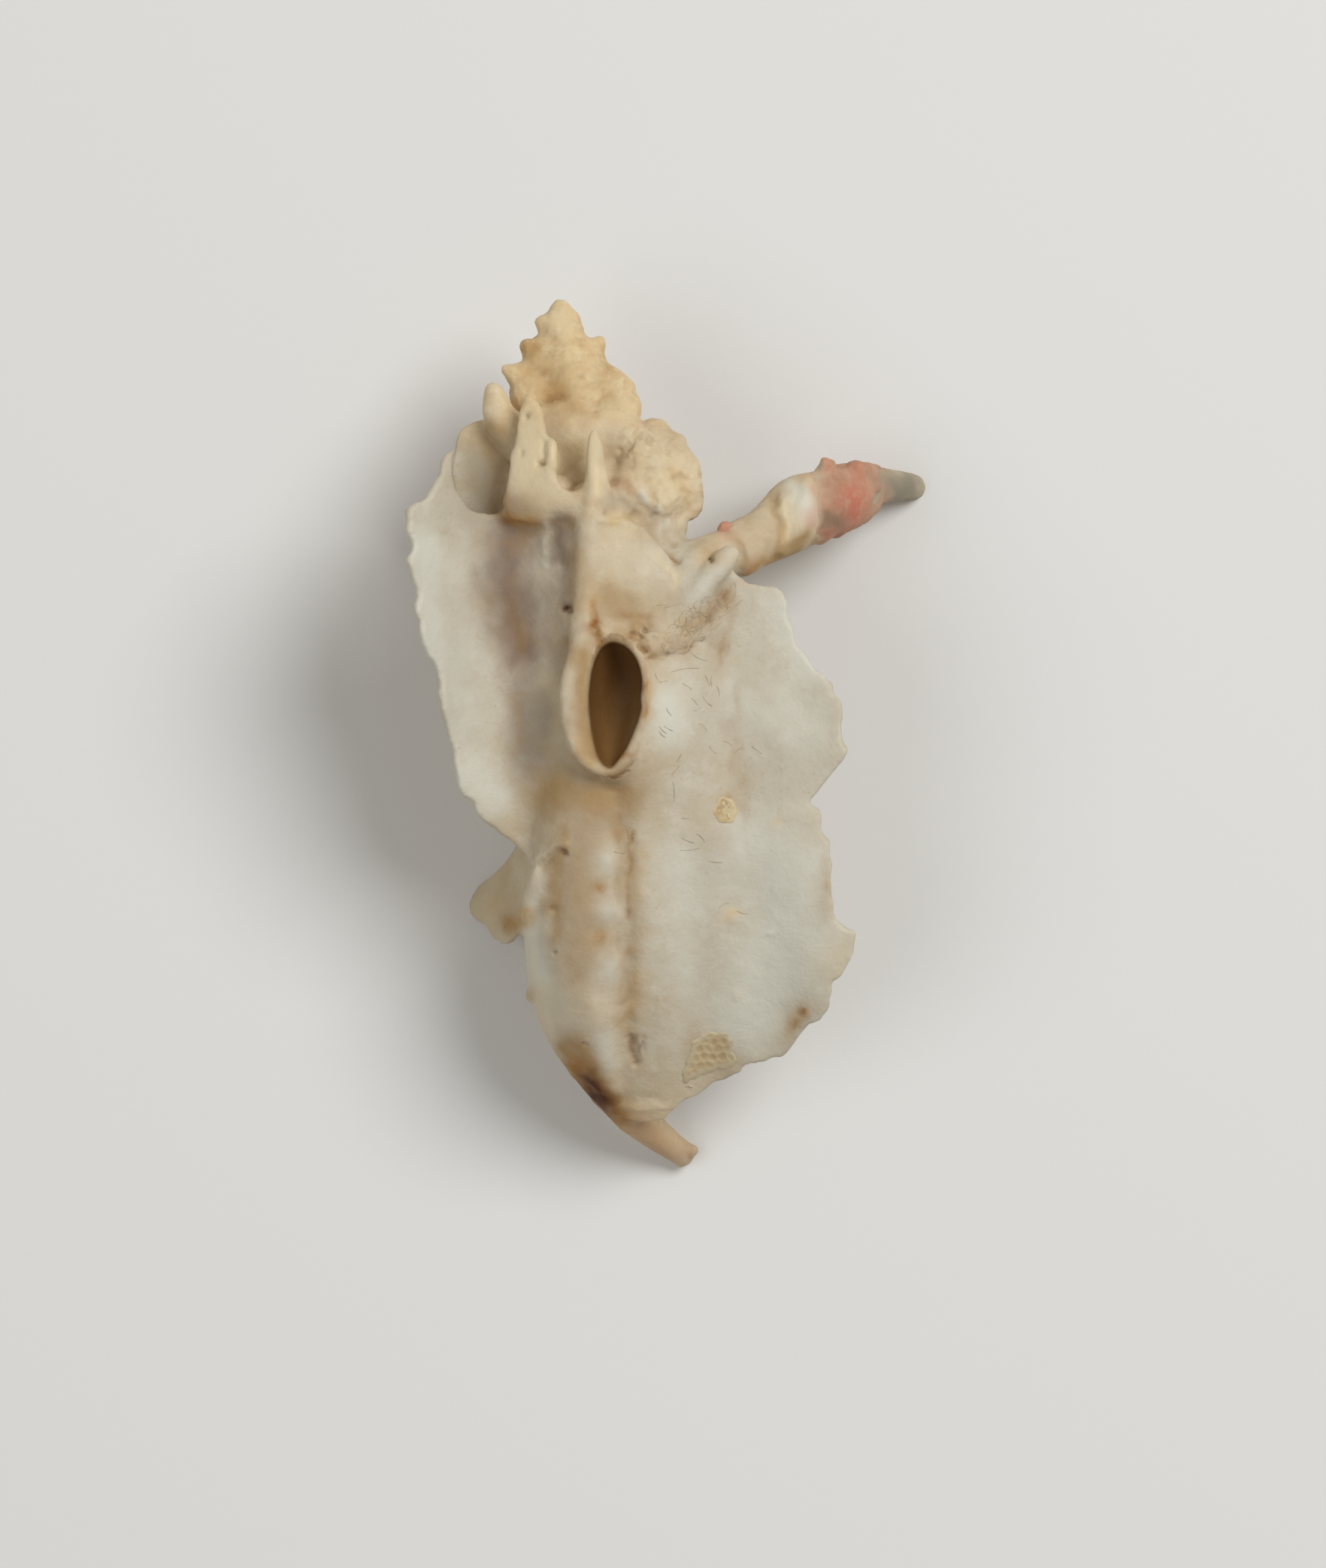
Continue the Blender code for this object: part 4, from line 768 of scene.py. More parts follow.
        (0.3, 10.5, -0.2, 9.9, 0.9, 0.6), (-4.5, 16.8, 0.8, 0.6), (-2.0, 13.6, 0.9, 0.4),
        (4.6, 9.0, 4.6, 7.7, 0.2, 0.7), (5.6, 10.3, 0.35, 0.7), (-7.0, 13.6, -6.6, 12.4, 0.6, 0.3),
        (-2.2, 8.6, -1.6, 8.3, 0.3, 0.7), (-0.4, 7.2, 0.1, 6.2, 0.25, 0.5),
        (-5.2, -5.8, -5.7, -7.2, 0.25, 0.4), (6.6, -9.0, 0.9, 0.4), (-6.8, -5.2, -7.3, -7.2, 0.9, 0.6),
        (2.57, -7.3, 0.3, 0.7), (2.7, -10.6, 0.28, 0.6), (4.37, -3.7, 0.3, 0.6),
    ],
}


def keepLargest(thing):
    # drops sealed pockets and stray crumbs left where the forms overlap
    bm = bmesh.new()
    bm.from_mesh(thing.data)
    left = set(bm.faces)
    bodies = []
    while left:
        seed = left.pop()
        body, front = {seed}, [seed]
        while front:
            for edge in front.pop().edges:
                for face in edge.link_faces:
                    if face in left:
                        left.discard(face)
                        body.add(face)
                        front.append(face)
        bodies.append(body)
    bodies.sort(key=len)
    waste = [face for body in bodies[:-1] for face in body]
    bmesh.ops.delete(bm, geom=waste, context="FACES")
    bm.to_mesh(thing.data)
    bm.free()


def addCloudPush(thing, name, grain, height, group):
    # pushes the surface in and out by Blender's own cloud texture
    texture = bpy.data.textures.new(name, "CLOUDS")
    texture.noise_scale = grain
    texture.noise_depth = 2
    addModifier(thing, "DISPLACE", texture=texture, strength=height, mid_level=0.5,
                texture_coords="LOCAL", vertex_group=group)


def setGroup(thing, name, weights):
    group = thing.vertex_groups.new(name=name)
    for index, weight in enumerate(weights):
        if weight > 0.01:
            group.add([index], float(weight), "REPLACE")


def joinForms():
    # every grown form in one skin, with the aperture cut into it
    form = shellForm
    bm = bmesh.new()
    addWhorls(bm)
    addBodyAndCanal(bm)
    addWings(bm)
    addTube(bm, spineStations)
    addTube(bm, [(0.2, 4.4, 9.6, 0.5), (0.9, 5.3, 9.7, 0.55), (1.6, 6.2, 9.7, 0.52), (2.15, 6.85, 9.6, 0.5),
                 (2.4, 7.12, 9.5, 0.42)])
    addTube(bm, [(0.6, 4.4, 9.3, 0.5), (1.4, 5.4, 9.3, 0.5), (2.2, 6.4, 9.1, 0.4)])
    addTube(bm, [(0.1, 5.5, 9.4, 0.55), (0.65, 6.3, 9.25, 0.62), (1.15, 6.9, 8.95, 0.62),
                 (1.6, 7.3, 8.45, 0.55)])
    addRim(bm)
    addBrokenShoulder(bm)
    addSpireGrowths(bm)
    shell = makeObject("shell_whole", bm)
    addModifier(shell, "REMESH", mode="VOXEL", voxel_size=form["firstVoxel"])
    applyModifiers(shell)
    bore = makeBore()
    addModifier(shell, "BOOLEAN", operation="DIFFERENCE", object=bore)
    applyModifiers(shell)
    bpy.data.objects.remove(bore)
    addModifier(shell, "REMESH", mode="VOXEL", voxel_size=form["voxel"])
    addModifier(shell, "SMOOTH", factor=0.5, iterations=5)
    applyModifiers(shell)
    keepLargest(shell)
    print("shell joined:", len(shell.data.polygons), "faces")
    return shell


def cutFeet(thing):
    # flat worn feet, where the shell rests
    bm = bmesh.new()
    bm.from_mesh(thing.data)
    everything = bm.verts[:] + bm.edges[:] + bm.faces[:]
    cut = bmesh.ops.bisect_plane(bm, geom=everything, dist=1e-5, plane_co=(0, 0, 0), plane_no=(0, 0, 1),
                                 clear_inner=True)["geom_cut"]
    bmesh.ops.holes_fill(bm, edges=[item for item in cut if isinstance(item, bmesh.types.BMEdge)])
    bm.to_mesh(thing.data)
    bm.free()


def addRelief(shell):
    # soften the seams where forms meet, away from thin edges, then lay on the surface relief
    form = shellForm
    points, _ = pointsAndNormals(shell)
    setGroup(shell, "seams", seamSoftness(points))
    setGroup(shell, "rough", roughness(points))
    addModifier(shell, "SMOOTH", factor=0.6, iterations=form["seamRounds"], vertex_group="seams")
    for name, grain, height, group in form["clouds"]:
        addCloudPush(shell, name, grain, height, group)
    addModifier(shell, "SMOOTH", factor=0.5, iterations=1)
    applyModifiers(shell)
    shell.vertex_groups.clear()
    points, normals = pointsAndNormals(shell)
    relief = openToSky(shell, points, normals) * ramp(normals[:, 2], 0.05, 0.5)
    relief *= markMask(wander(points, 0.12, 0.8), shellMarks["push"], adding=True)
    points += normals * (relief + backRelief(points, normals))[:, None]
    points[:, 2] = np.maximum(points[:, 2], 0.0)
    movePoints(shell, points)
    addThinning(shell, form["triangles"])
    addModifier(shell, "SMOOTH", factor=0.3, iterations=1)
    applyModifiers(shell)
    print("shell thinned:", len(shell.data.polygons), "faces")


def addMasks(shell):
    # where each colour of the shell lies, from 0 to 1 at every vertex
    points, normals = pointsAndNormals(shell)
    facing = openToSky(shell, points, normals) * ramp(normals[:, 2], -0.4, -0.1)
    crisp, soft = wander(points, 0.18, 0.7), wander(points, 0.5, 1.6)
    patchy = np.clip(0.95 + 0.6 * noiseField(points, 0.45, 11.0), 0.0, 1.1)
    for name in ("stain", "dark"):
        setAttribute(shell, name, facing * patchy * markMask(crisp, shellMarks[name]))
    # the broad brown mask is both stain and painted shade
    # the grey-lilac mask is painted shade
    # the pale mask also carries painted light
    for name in ("brownStainAndShade", "paintedShade", "thin", "paleAndPaintedLight", "cream", "blush", "gold"):
        setAttribute(shell, name, facing * markMask(crisp if name == "paleAndPaintedLight" else soft, shellMarks[name]))
    setAttribute(shell, "warm", warmth(points))
    setAttribute(shell, "rough", roughness(points))
    # painted brown shade in the hollows, darker the deeper they lie; less of it on the lobes, along the
    # seam and in the gap below the spire
    x, y, _ = points.T
    lobes = ramp(x, -2.9, -2.2) * ramp(y, 7.2, 7.8)
    seam = near(x, -1.6, 0.4) * ramp(-y, 3.0, 4.0)
    gap = 1.3 * near(x, -3.9, 0.5) * ramp(y, 10.0, 10.6)
    kept = 1 - 0.6 * np.maximum.reduce([lobes, seam, gap])
    setAttribute(shell, "hollow", ramp(hollows(shell, 30), 0.02, 0.16) * kept)
    bore = boreDepthMask(points)
    # the aperture's colour is thinned on its right wall: painted light on a wall that lies in shade
    setAttribute(shell, "bore", bore * (1 - 0.15 * ramp(x, -2.1, -1.2)))
    # painted shade inside the aperture, darker towards its upper end and its left side
    shade = 0.75 * ramp(y, 0.2, 2.8) + 0.7 * (1 - ramp(x, -2.9, -1.8))
    setAttribute(shell, "paintedBoreShade", bore * np.minimum(shade, 0.95))


def makeShell():
    shell = joinForms()
    cutFeet(shell)
    addRelief(shell)
    addMasks(shell)
    return shell


def backRelief(points, normals):
    # spiral cords and growth folds on the sides and the back, where the shell is less rubbed
    x, y, z = points.T
    hidden = (1 - ramp(normals[:, 2], -0.35, 0.1)) * ramp(z, 0.6, 2.0) * ramp(-y, -11.0, -9.0)
    cords = 0.05 * np.sin(2 * math.pi * (y + 0.2 * z + 0.1 * np.sin(2.1 * x)) / 1.2)
    folds = 0.03 * np.sin(2 * math.pi * (x - z + 0.25 * np.sin(0.9 * y)) / 0.8)
    return hidden * (cords + folds)


def near(value, middle, width):
    return np.exp(-((value - middle) / width) ** 2)


def mound(x, y, middleX, widthX, middleY, widthY):
    return np.exp(-((x - middleX) / widthX) ** 2 - ((y - middleY) / widthY) ** 2)


def largest(*masks):
    return np.clip(np.maximum.reduce(masks), 0.0, 1.0)


def roughness(points):
    # crusty on the right of the spire, knobbly over the rest of it, smooth on the wings
    x, y, z = points.T
    spire = ramp(y, 12.0, 13.2) * 0.45
    lobes = ramp(x, -2.6, -1.4) * (1 - ramp(x, 1.6, 2.2)) * ramp(y, 7.8, 8.8)
    lobes = lobes * (1 - ramp(z, 9.6, 10.1)) * ramp(z, 5.0, 6.5) * 0.65
    spine = ramp(x, 1.5, 2.5) * ramp(y, 6.8, 7.6) * 0.12
    callus = 0.8 * mound(x, y, -0.8, 0.8, 3.75, 0.45)
    tangle = 0.35 * mound(x, y, 1.3, 1.2, 4.8, 0.9)
    return largest(spire, lobes, spine, callus, tangle)


def seamSoftness(points):
    # where forms flow into each other
    x, y, z = points.T
    canal = near(x, -2.6, 2.2) * (1 - ramp(y, -2.5, -1.9)) * ramp(y, -14.8, -13.0)
    lipRight = 0.7 * mound(x, y, 0.4, 1.0, 0.8, 2.2)
    lipFoot = 0.8 * mound(x, y, -1.8, 0.9, -2.0, 0.45)
    tubeFoot = 0.8 * mound(x, y, 0.7, 1.1, 5.3, 1.3)
    valley = near(x, -5.3, 1.2) * ramp(y, -4.0, -3.0) * (1 - ramp(y, 7.7, 8.4)) * ramp(z, 6.0, 7.0)
    column = 0.8 * near(x, -3.1, 1.4) * ramp(y, 4.0, 4.6) * (1 - ramp(y, 8.7, 9.4)) * ramp(z, 7.0, 8.0)
    besideRidge = x + 5.0 - 0.25 * np.maximum(0.0, -10.0 - y)
    ridgeFoot = near(besideRidge, 0.0, 0.5) * (1 - ramp(y, -7.6, -6.8))
    spire = 0.2 * ramp(y, 12.8, 13.6) + 0.4 * ramp(y, 12.6, 13.4) * ramp(z, 7.0, 7.8)
    lobes = 0.5 * ramp(x, -2.2, -1.2) * ramp(y, 8.0, 9.0) * ramp(z, 7.5, 8.5)
    mouth = 0.9 * boreDepthMask(points) * (1 - ramp(z, 9.6, 10.2))
    return largest(canal, lipRight, lipFoot, tubeFoot, valley, column, ridgeFoot, spire, lobes, mouth)


def warmth(points):
    # ivory on the wings, cream on the body, sandy on the spire
    x, y, z = points.T
    spire = ramp(y, 10.5, 13.5)
    lobes = 0.5 * ramp(y, 7.5, 9.0) * ramp(x, -7.0, -5.5) * (1 - ramp(x, 1.5, 2.5))
    body = 0.4 * near(x, -2.2, 1.9) * ramp(y, -4.0, 0.0)
    canal = 0.28 * near(x, -3.2, 2.4) * (1 - ramp(y, -4.0, 0.0)) + 0.5 * (1 - ramp(y, -15.6, -13.5))
    spine = 0.35 * ramp(x, 0.5, 1.5) * ramp(y, 6.3, 7.0)
    under = 0.25 * (1 - ramp(z, 5.0, 8.0))
    return largest(spire, lobes, body, canal, spine, under)


def boreDepthMask(points):
    # 1 inside the aperture, from just below its rim to its floor
    x, y, z = points.T
    middleX, middleY = shellForm["boreMiddle"]
    inside = ((x - middleX) / 1.15) ** 2 + ((y - middleY) / 2.7) ** 2 < 1.15
    rim = shellForm["rimLevel"]
    return inside * (1 - ramp(z, rim - 0.75, rim - 0.25)) * ramp(z, 8.2, 8.5)


def layeredColour(tree, coords, base, layers):
    # a layer is a colour and its vertex mask or None, and where it is blotchy the blotches' width in mm
    # and the cloud's values where they start and fill
    colour = None
    for shade, mask, *blotches in layers:
        factor = None
        if mask:
            factor = addNode(tree, "ShaderNodeAttribute", {"attribute_name": mask}).outputs["Fac"]
        if blotches:
            width, low, high = blotches
            settings = {"Scale": 1 / (width * mm), "Detail": 5.0, "Roughness": 0.6}
            cloud = addNode(tree, "ShaderNodeTexNoise", settings, {"Vector": coords}).outputs["Fac"]
            settings = {"From Min": low, "From Max": high}
            spread = addNode(tree, "ShaderNodeMapRange", settings, {"Value": cloud}).outputs["Result"]
            if mask:
                links = {0: factor, 1: spread}
                spread = addNode(tree, "ShaderNodeMath", {"operation": "MULTIPLY"}, links).outputs[0]
            factor = spread
        links = {0: factor, 6: colour} if colour else {0: factor}
        settings = {"data_type": "RGBA", 7: linearColour(shade)}
        if not colour:
            settings[6] = linearColour(base)
        colour = addNode(tree, "ShaderNodeMix", settings, links).outputs[2]
    return colour


def finish(name, base, layers, constants, gloss, relief):
    # gloss is a cloud's width in mm and the least and most roughness over it; relief's parts are
    # (texture, width in mm, weight) and add up to the bump's height
    made = bpy.data.materials.new(name)
    made.use_nodes = True
    tree = made.node_tree
    shader = tree.nodes["Principled BSDF"]
    coords = addNode(tree, "ShaderNodeTexCoord").outputs["Object"]
    tree.links.new(layeredColour(tree, coords, base, layers), shader.inputs["Base Color"])
    for key, value in constants.items():
        shader.inputs[key].default_value = value
    width, low, high = gloss
    settings = {"Scale": 1 / (width * mm), "Detail": 4.0}
    cloud = addNode(tree, "ShaderNodeTexNoise", settings, {"Vector": coords}).outputs["Fac"]
    settings = {"From Min": 0.3, "From Max": 0.7, "To Min": low, "To Max": high}
    spread = addNode(tree, "ShaderNodeMapRange", settings, {"Value": cloud})
    tree.links.new(spread.outputs["Result"], shader.inputs["Roughness"])
    height = None
    for kind, width, weight in relief["parts"]:
        texture = addNode(tree, kind, {"Scale": 1 / (width * mm)}, {"Vector": coords})
        output = texture.outputs["Distance"] if kind.endswith("Voronoi") else texture.outputs["Fac"]
        links = {0: output, 2: height} if height else {0: output}
        settings = {"operation": "MULTIPLY_ADD", 1: weight, 2: 0.0}
        height = addNode(tree, "ShaderNodeMath", settings, links).outputs[0]
    settings = {"Strength": relief["strength"], "Distance": relief["distance"] * mm}
    bump = addNode(tree, "ShaderNodeBump", settings, {"Height": height})
    tree.links.new(bump.outputs["Normal"], shader.inputs["Normal"])
    return made


def shellMaterial():
    # old aragonite shell, grown in thin layers, rolled on a beach and stained: satin with a faint depth;
    # 3.2 and 1.3 mm are growth bands and rubbed patches, 0.45 to 0.15 mm the pitted grain
    layers = [
        ("#BCAA8C", None, 3.2, 0.44, 0.74),
        ("#D6CFBE", None, 1.3, 0.5, 0.8),
        ("#BDAB88", None, 0.17, 0.56, 0.78),
        ("#DCC296", "warm"),
        ("#BC905A", "warm", 0.9, 0.5, 0.9),
        ("#E4D2AC", "warm", 0.35, 0.52, 0.75),
        ("#A88F6E", "rough", 0.5, 0.52, 0.75),
        # cream tone, and painted light on parts in shade
        ("#E2D0AA", "cream"),
        # pale patches, and painted highlights and light
        ("#DBDACC", "paleAndPaintedLight"),
        # grey of thin parts, partly painted shade
        ("#8F8775", "thin"),
        # grey-lilac painted shade
        ("#79675B", "paintedShade"),
        # broad brown stain and painted shade
        ("#A5824F", "brownStainAndShade"),
        ("#C58468", "blush"),
        ("#C8A268", "gold", 0.6, 0.15, 0.6),
        # painted brown shade in the hollows
        ("#A08058", "hollow", 1.2, 0.3, 0.65),
        ("#A2743A", "stain", 0.5, -0.1, 0.45),
        ("#53290B", "dark"),
        ("#86653A", "bore"),
        # painted shade at the aperture's upper end and left side
        ("#6A4927", "paintedBoreShade"),
    ]
    constants = {"IOR": 1.53, "Specular IOR Level": 0.12, "Subsurface Weight": 0.08,
                 "Subsurface Radius": (1.0, 0.9, 0.75), "Subsurface Scale": 0.3 * mm}
    relief = {"strength": 0.5, "distance": 0.06,
              "parts": [("ShaderNodeTexNoise", 0.45, 1.0), ("ShaderNodeTexNoise", 0.15, 0.5)]}
    return finish("worn_shell_aragonite", "#C9C0AC", layers, constants, (0.5, 0.42, 0.68), relief)


def crustMaterial():
    # crust of coralline alga, a chalky pink skin over the spine, rubbed brown in places; its bumps are
    # 0.14 to 0.25 mm across
    layers = [
        ("#C39C80", None, 0.9, 0.4, 0.7),
        ("#C4705A", "strong"),
        ("#C79A80", None, 0.45, 0.5, 0.8),
        ("#7E6852", "rubbed"),
        ("#D2C3A6", "cream"),
        # grey towards the spine's tip, partly painted shade
        ("#928874", "thin"),
    ]
    constants = {"IOR": 1.5, "Specular IOR Level": 0.3, "Subsurface Weight": 0.2,
                 "Subsurface Radius": (1.0, 0.5, 0.35), "Subsurface Scale": 0.4 * mm}
    relief = {"strength": 0.35, "distance": 0.04,
              "parts": [("ShaderNodeTexNoise", 0.25, 1.0), ("ShaderNodeTexVoronoi", 0.14, 0.5)]}
    return finish("pink_coralline_crust", "#B98A6E", layers, constants, (0.4, 0.55, 0.8), relief)


def matMaterial():
    # moss-animal colony: chalky cells with thin raised walls and dim floors; its real grain, 0.02 mm, is
    # drawn at 0.1 mm so that it shows
    layers = [
        ("#BDA47C", None, 0.5, 0.4, 0.7),
        ("#B49A72", "floor", 0.5, 0.2, 0.7),
        ("#CFBE9E", None, 0.12, 0.58, 0.8),
        ("#C3B79B", "margin"),
    ]
    constants = {"IOR": 1.5, "Specular IOR Level": 0.25}
    relief = {"strength": 0.5, "distance": 0.03, "parts": [("ShaderNodeTexNoise", 0.1, 1.0)]}
    return finish("moss_animal_calcite", "#C6B591", layers, constants, (0.3, 0.65, 0.85), relief)


def discMaterial():
    # base plate of a lost barnacle: cream calcite with a dingy middle; its grain too is drawn coarser
    layers = [
        ("#CBB78F", None, 0.3, 0.4, 0.7),
        ("#B79C70", "middle", 0.3, 0.2, 0.6),
        ("#DCCFAF", None, 0.1, 0.6, 0.8),
    ]
    constants = {"IOR": 1.5, "Specular IOR Level": 0.3}
    relief = {"strength": 0.5, "distance": 0.03, "parts": [("ShaderNodeTexNoise", 0.12, 1.0)]}
    return finish("barnacle_base_calcite", "#D2C19B", layers, constants, (0.3, 0.5, 0.75), relief)


def lintMaterial():
    # stray textile fibres, thin and grey, dull
    layers = [("#A39274", None, 0.5, 0.4, 0.7)]
    relief = {"strength": 0.2, "distance": 0.005, "parts": [("ShaderNodeTexNoise", 0.1, 1.0)]}
    return finish("grey_cotton_lint", "#C0B49C", layers, {"IOR": 1.5}, (0.3, 0.6, 0.8), relief)


def refine(thing, voxel, smoothing, triangles):
    # joins overlapping forms into one skin and thins it
    addModifier(thing, "REMESH", mode="VOXEL", voxel_size=voxel)
    addModifier(thing, "SMOOTH", factor=0.5, iterations=smoothing)
    applyModifiers(thing)
    keepLargest(thing)
    addThinning(thing, triangles)
    applyModifiers(thing)


def settle(thing, material, node):
    thing.data.transform(toFrame)
    thing.data.shade_smooth()
    thing.data.materials.clear()
    thing.data.materials.append(material)
    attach(thing, "root")
    if node:
        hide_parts(node)
    print(thing.name, "made:", len(thing.data.polygons), "faces")


crustForm = {
    "from": 5.6, "to": 9.05, "proud": 0.16, "lumps": 46, "voxel": 0.05, "triangles": 26000,
    "beads": [(6.35, 10.72, 4.9, 0.4), (6.25, 10.4, 4.9, 0.55), (7.5, 10.5, 3.9, 0.55),
              (7.9, 10.42, 3.4, 0.45), (7.0, 8.75, 3.9, 0.55), (6.3, 8.4, 4.5, 0.5), (7.3, 9.6, 4.2, 0.5),
              (6.6, 9.7, 4.75, 0.5), (7.9, 9.6, 3.45, 0.42), (6.95, 10.2, 4.4, 0.5)],
    "strong": [(7.4, 8.9, 7.35, 9.6, 0.5, 0.8), (7.5, 10.0, 7.65, 10.7, 0.4, 0.3),
               (6.4, 8.0, 7.2, 8.3, 0.25, 0.45), (6.4, 11.0, 6.35, 10.6, 0.25, 0.3)],
    "rubbed": [(6.25, 8.6, 6.7, 8.5, 0.45, 0.75), (7.0, 8.8, 0.4, 0.3), (6.5, 9.9, 6.6, 9.2, 0.6, 0.15)],
}


def makeCrust():
    form = crustForm
    bm = bmesh.new()
    start, end = form["from"], form["to"]
    path = [point for point in smoothPath(spineStations, 6) if start - 1.1 <= point.x <= end + 0.2]
    sleeve = [point.copy() for point in path]
    for k, point in enumerate(sleeve):
        ends = min(k, len(sleeve) - 1 - k) / len(sleeve)
        point.w += form["proud"] * ramp(ends, 0.0, 0.25) + 0.02 * math.sin(2.1 * k)
    addSkin(bm, ringsAlong(sleeve), 40)
    # grains scattered over the sleeve
    for k in range(form["lumps"]):
        point = path[int((k * goldenShare % 1.0) * (len(path) - 1))]
        angle = k * goldenAngle
        around = Vector((0.35, math.cos(angle), math.sin(angle))).normalized()
        size = 0.3 + 0.1 * math.sin(1.7 * k)
        addBall(bm, point.xyz + around * (point.w - 0.1), (size, size, size), detail=2)
    for x, y, z, size in form["beads"]:
        addBall(bm, (x, y, z), (size, size, size), lumps=0.1, grain=0.3)
    crust = makeObject("pink_crust", bm)
    addModifier(crust, "REMESH", mode="VOXEL", voxel_size=form["voxel"])
    addModifier(crust, "SMOOTH", factor=0.5, iterations=12)
    addCloudPush(crust, "crust lumps", 0.35, 0.06, "")
    refine(crust, form["voxel"], 2, form["triangles"])
    # both ends thin out raggedly and dive under the spine's own skin
    points, _ = pointsAndNormals(crust)
    line = np.array([tuple(point) for point in smoothPath(spineStations, 10)])
    nearest = np.linalg.norm(points[:, None, :] - line[None, :, :3], axis=2).argmin(axis=1)
    out = points - line[nearest, :3]
    radius = np.linalg.norm(out, axis=1)
    along = points[:, 0] + 0.5 * noiseField(points, 0.6, 2.0)
    cover = ramp(along, start - 0.1, start + 0.7) * (1 - ramp(along, end - 0.9, end))
    kept = np.minimum(radius, radius * cover + (line[nearest, 3] - 0.15) * (1 - cover))
    points = line[nearest, :3] + out * (kept / radius)[:, None]
    movePoints(crust, points)
    points, normals = pointsAndNormals(crust)
    moved = wander(points, 0.2, 0.5)
    for name in ("strong", "rubbed"):
        setAttribute(crust, name, markMask(moved, form[name]) * ramp(normals[:, 2], -0.6, 0.2))
    setAttribute(crust, "cream", 1 - ramp(along, start + 0.1, start + 0.8))
    # greyer towards the spine's tip, as on the shell there, partly painted shade
    setAttribute(crust, "thin", 0.3 * ramp(along, end - 1.15, end - 0.55))
    settle(crust, crustMaterial(), "red_crust")


beadForm = {
    # centre, size, and the height and grain of its lumps
    "balls": [((2.28, 8.16, 7.85), (0.38, 0.36, 0.36), 0.08, 0.4),
              ((2.5, 7.98, 7.98), (0.28, 0.22, 0.22), 0.06, 0.3)],
    "reddest": (2.28, 8.25), "voxel": 0.035, "triangles": 6000,
}


def makeBead():
    form = beadForm
    bm = bmesh.new()
    for centre, size, lumps, grain in form["balls"]:
        addBall(bm, centre, size, lumps=lumps, grain=grain)
    bead = makeObject("pink_bead", bm)
    refine(bead, form["voxel"], 6, form["triangles"])
    points, _ = pointsAndNormals(bead)
    away = distanceToRoute(points, [form["reddest"]])
    setAttribute(bead, "strong", 0.4 * (1 - ramp(away, 0.1, 0.5)))
    setAttribute(bead, "rubbed", np.zeros(len(points)))
    setAttribute(bead, "thin", np.zeros(len(points)))
    setAttribute(bead, "cream", 0.8 * ramp(away, 0.2, 0.45))
    settle(bead, bpy.data.materials["pink_coralline_crust"], "red_bead")


matForm = {
    "pitch": 0.37, "rows": 9, "columns": 10, "tall": 0.055, "thickness": 0.3, "proud": 0.04,
    "outline": [(2.4, -11.9), (1.6, -11.8), (0.85, -12.2), (0.65, -13.0), (0.38, -13.7), (0.6, -14.12),
                (1.3, -13.85), (2.0, -13.6), (2.6, -13.4), (2.88, -13.1), (2.7, -12.75), (2.65, -12.2)],
}


def makeMat(tree):
    # one thin crust on the wing, dimpled by rows of small open cells
    form = matForm

    def onShell(x, y):
        level = levelUnder(tree, x, y, rightWingSurface(x, y).z)
        return Vector((x, y, level + form["proud"] - form["thickness"] / 2))

    bm = bmesh.new()
    addSheet(bm, ragged(form["outline"], 0.15, 0.16), onShell, lambda x, y: form["thickness"], cell=0.055)
    mat = makeObject("moss_animal_mat", bm)
    points, _ = pointsAndNormals(mat)
    pitch = form["pitch"]
    centres = []
    for row in range(form["rows"]):
        for column in range(form["columns"]):
            x = 0.3 + (column + 0.5 * (row % 2)) * pitch
            y = -11.7 - row * pitch * 0.87
            # Vector rounds each shift to single precision
            astray = Vector([noise.noise(Vector((x, y, seed)) / 0.3) for seed in (1.0, 5.0)])
            centres.append((x + 0.14 * astray.x, y + 0.14 * astray.y))
    away = np.sort(np.array([np.hypot(points[:, 0] - x, points[:, 1] - y) for x, y in centres]), axis=0)
    wall = 1 - ramp(away[1] - away[0], 0.0, 0.2)
    top = np.array([point[2] > onShell(*point[:2]).z for point in points]).astype(float)
    edge = distanceToRoute(points, form["outline"] + form["outline"][:1])
    edge = edge + 0.12 * noiseField(points, 0.3, 5.0)
    height = (wall * form["tall"] - 0.03) * ramp(edge, 0.15, 0.5) - 0.16 * (1 - ramp(edge, 0.0, 0.22))
    points[:, 2] += height * top
    movePoints(mat, points)
    setAttribute(mat, "floor", (1 - wall) * top)
    setAttribute(mat, "margin", 0.8 * (1 - ramp(edge, 0.1, 0.5)))
    settle(mat, matMaterial(), "sea_mat")


discForm = {
    "spot": (2.26, -3.06), "radius": 0.5, "height": 0.2,
    # insets and rises: up to the rim, over it, and down to a dished middle
    "steps": [(0.06, 0.04), (0.07, 0.02), (0.07, -0.02), (0.08, -0.02), (0.08, 0.01), (0.05, 0.01)],
}


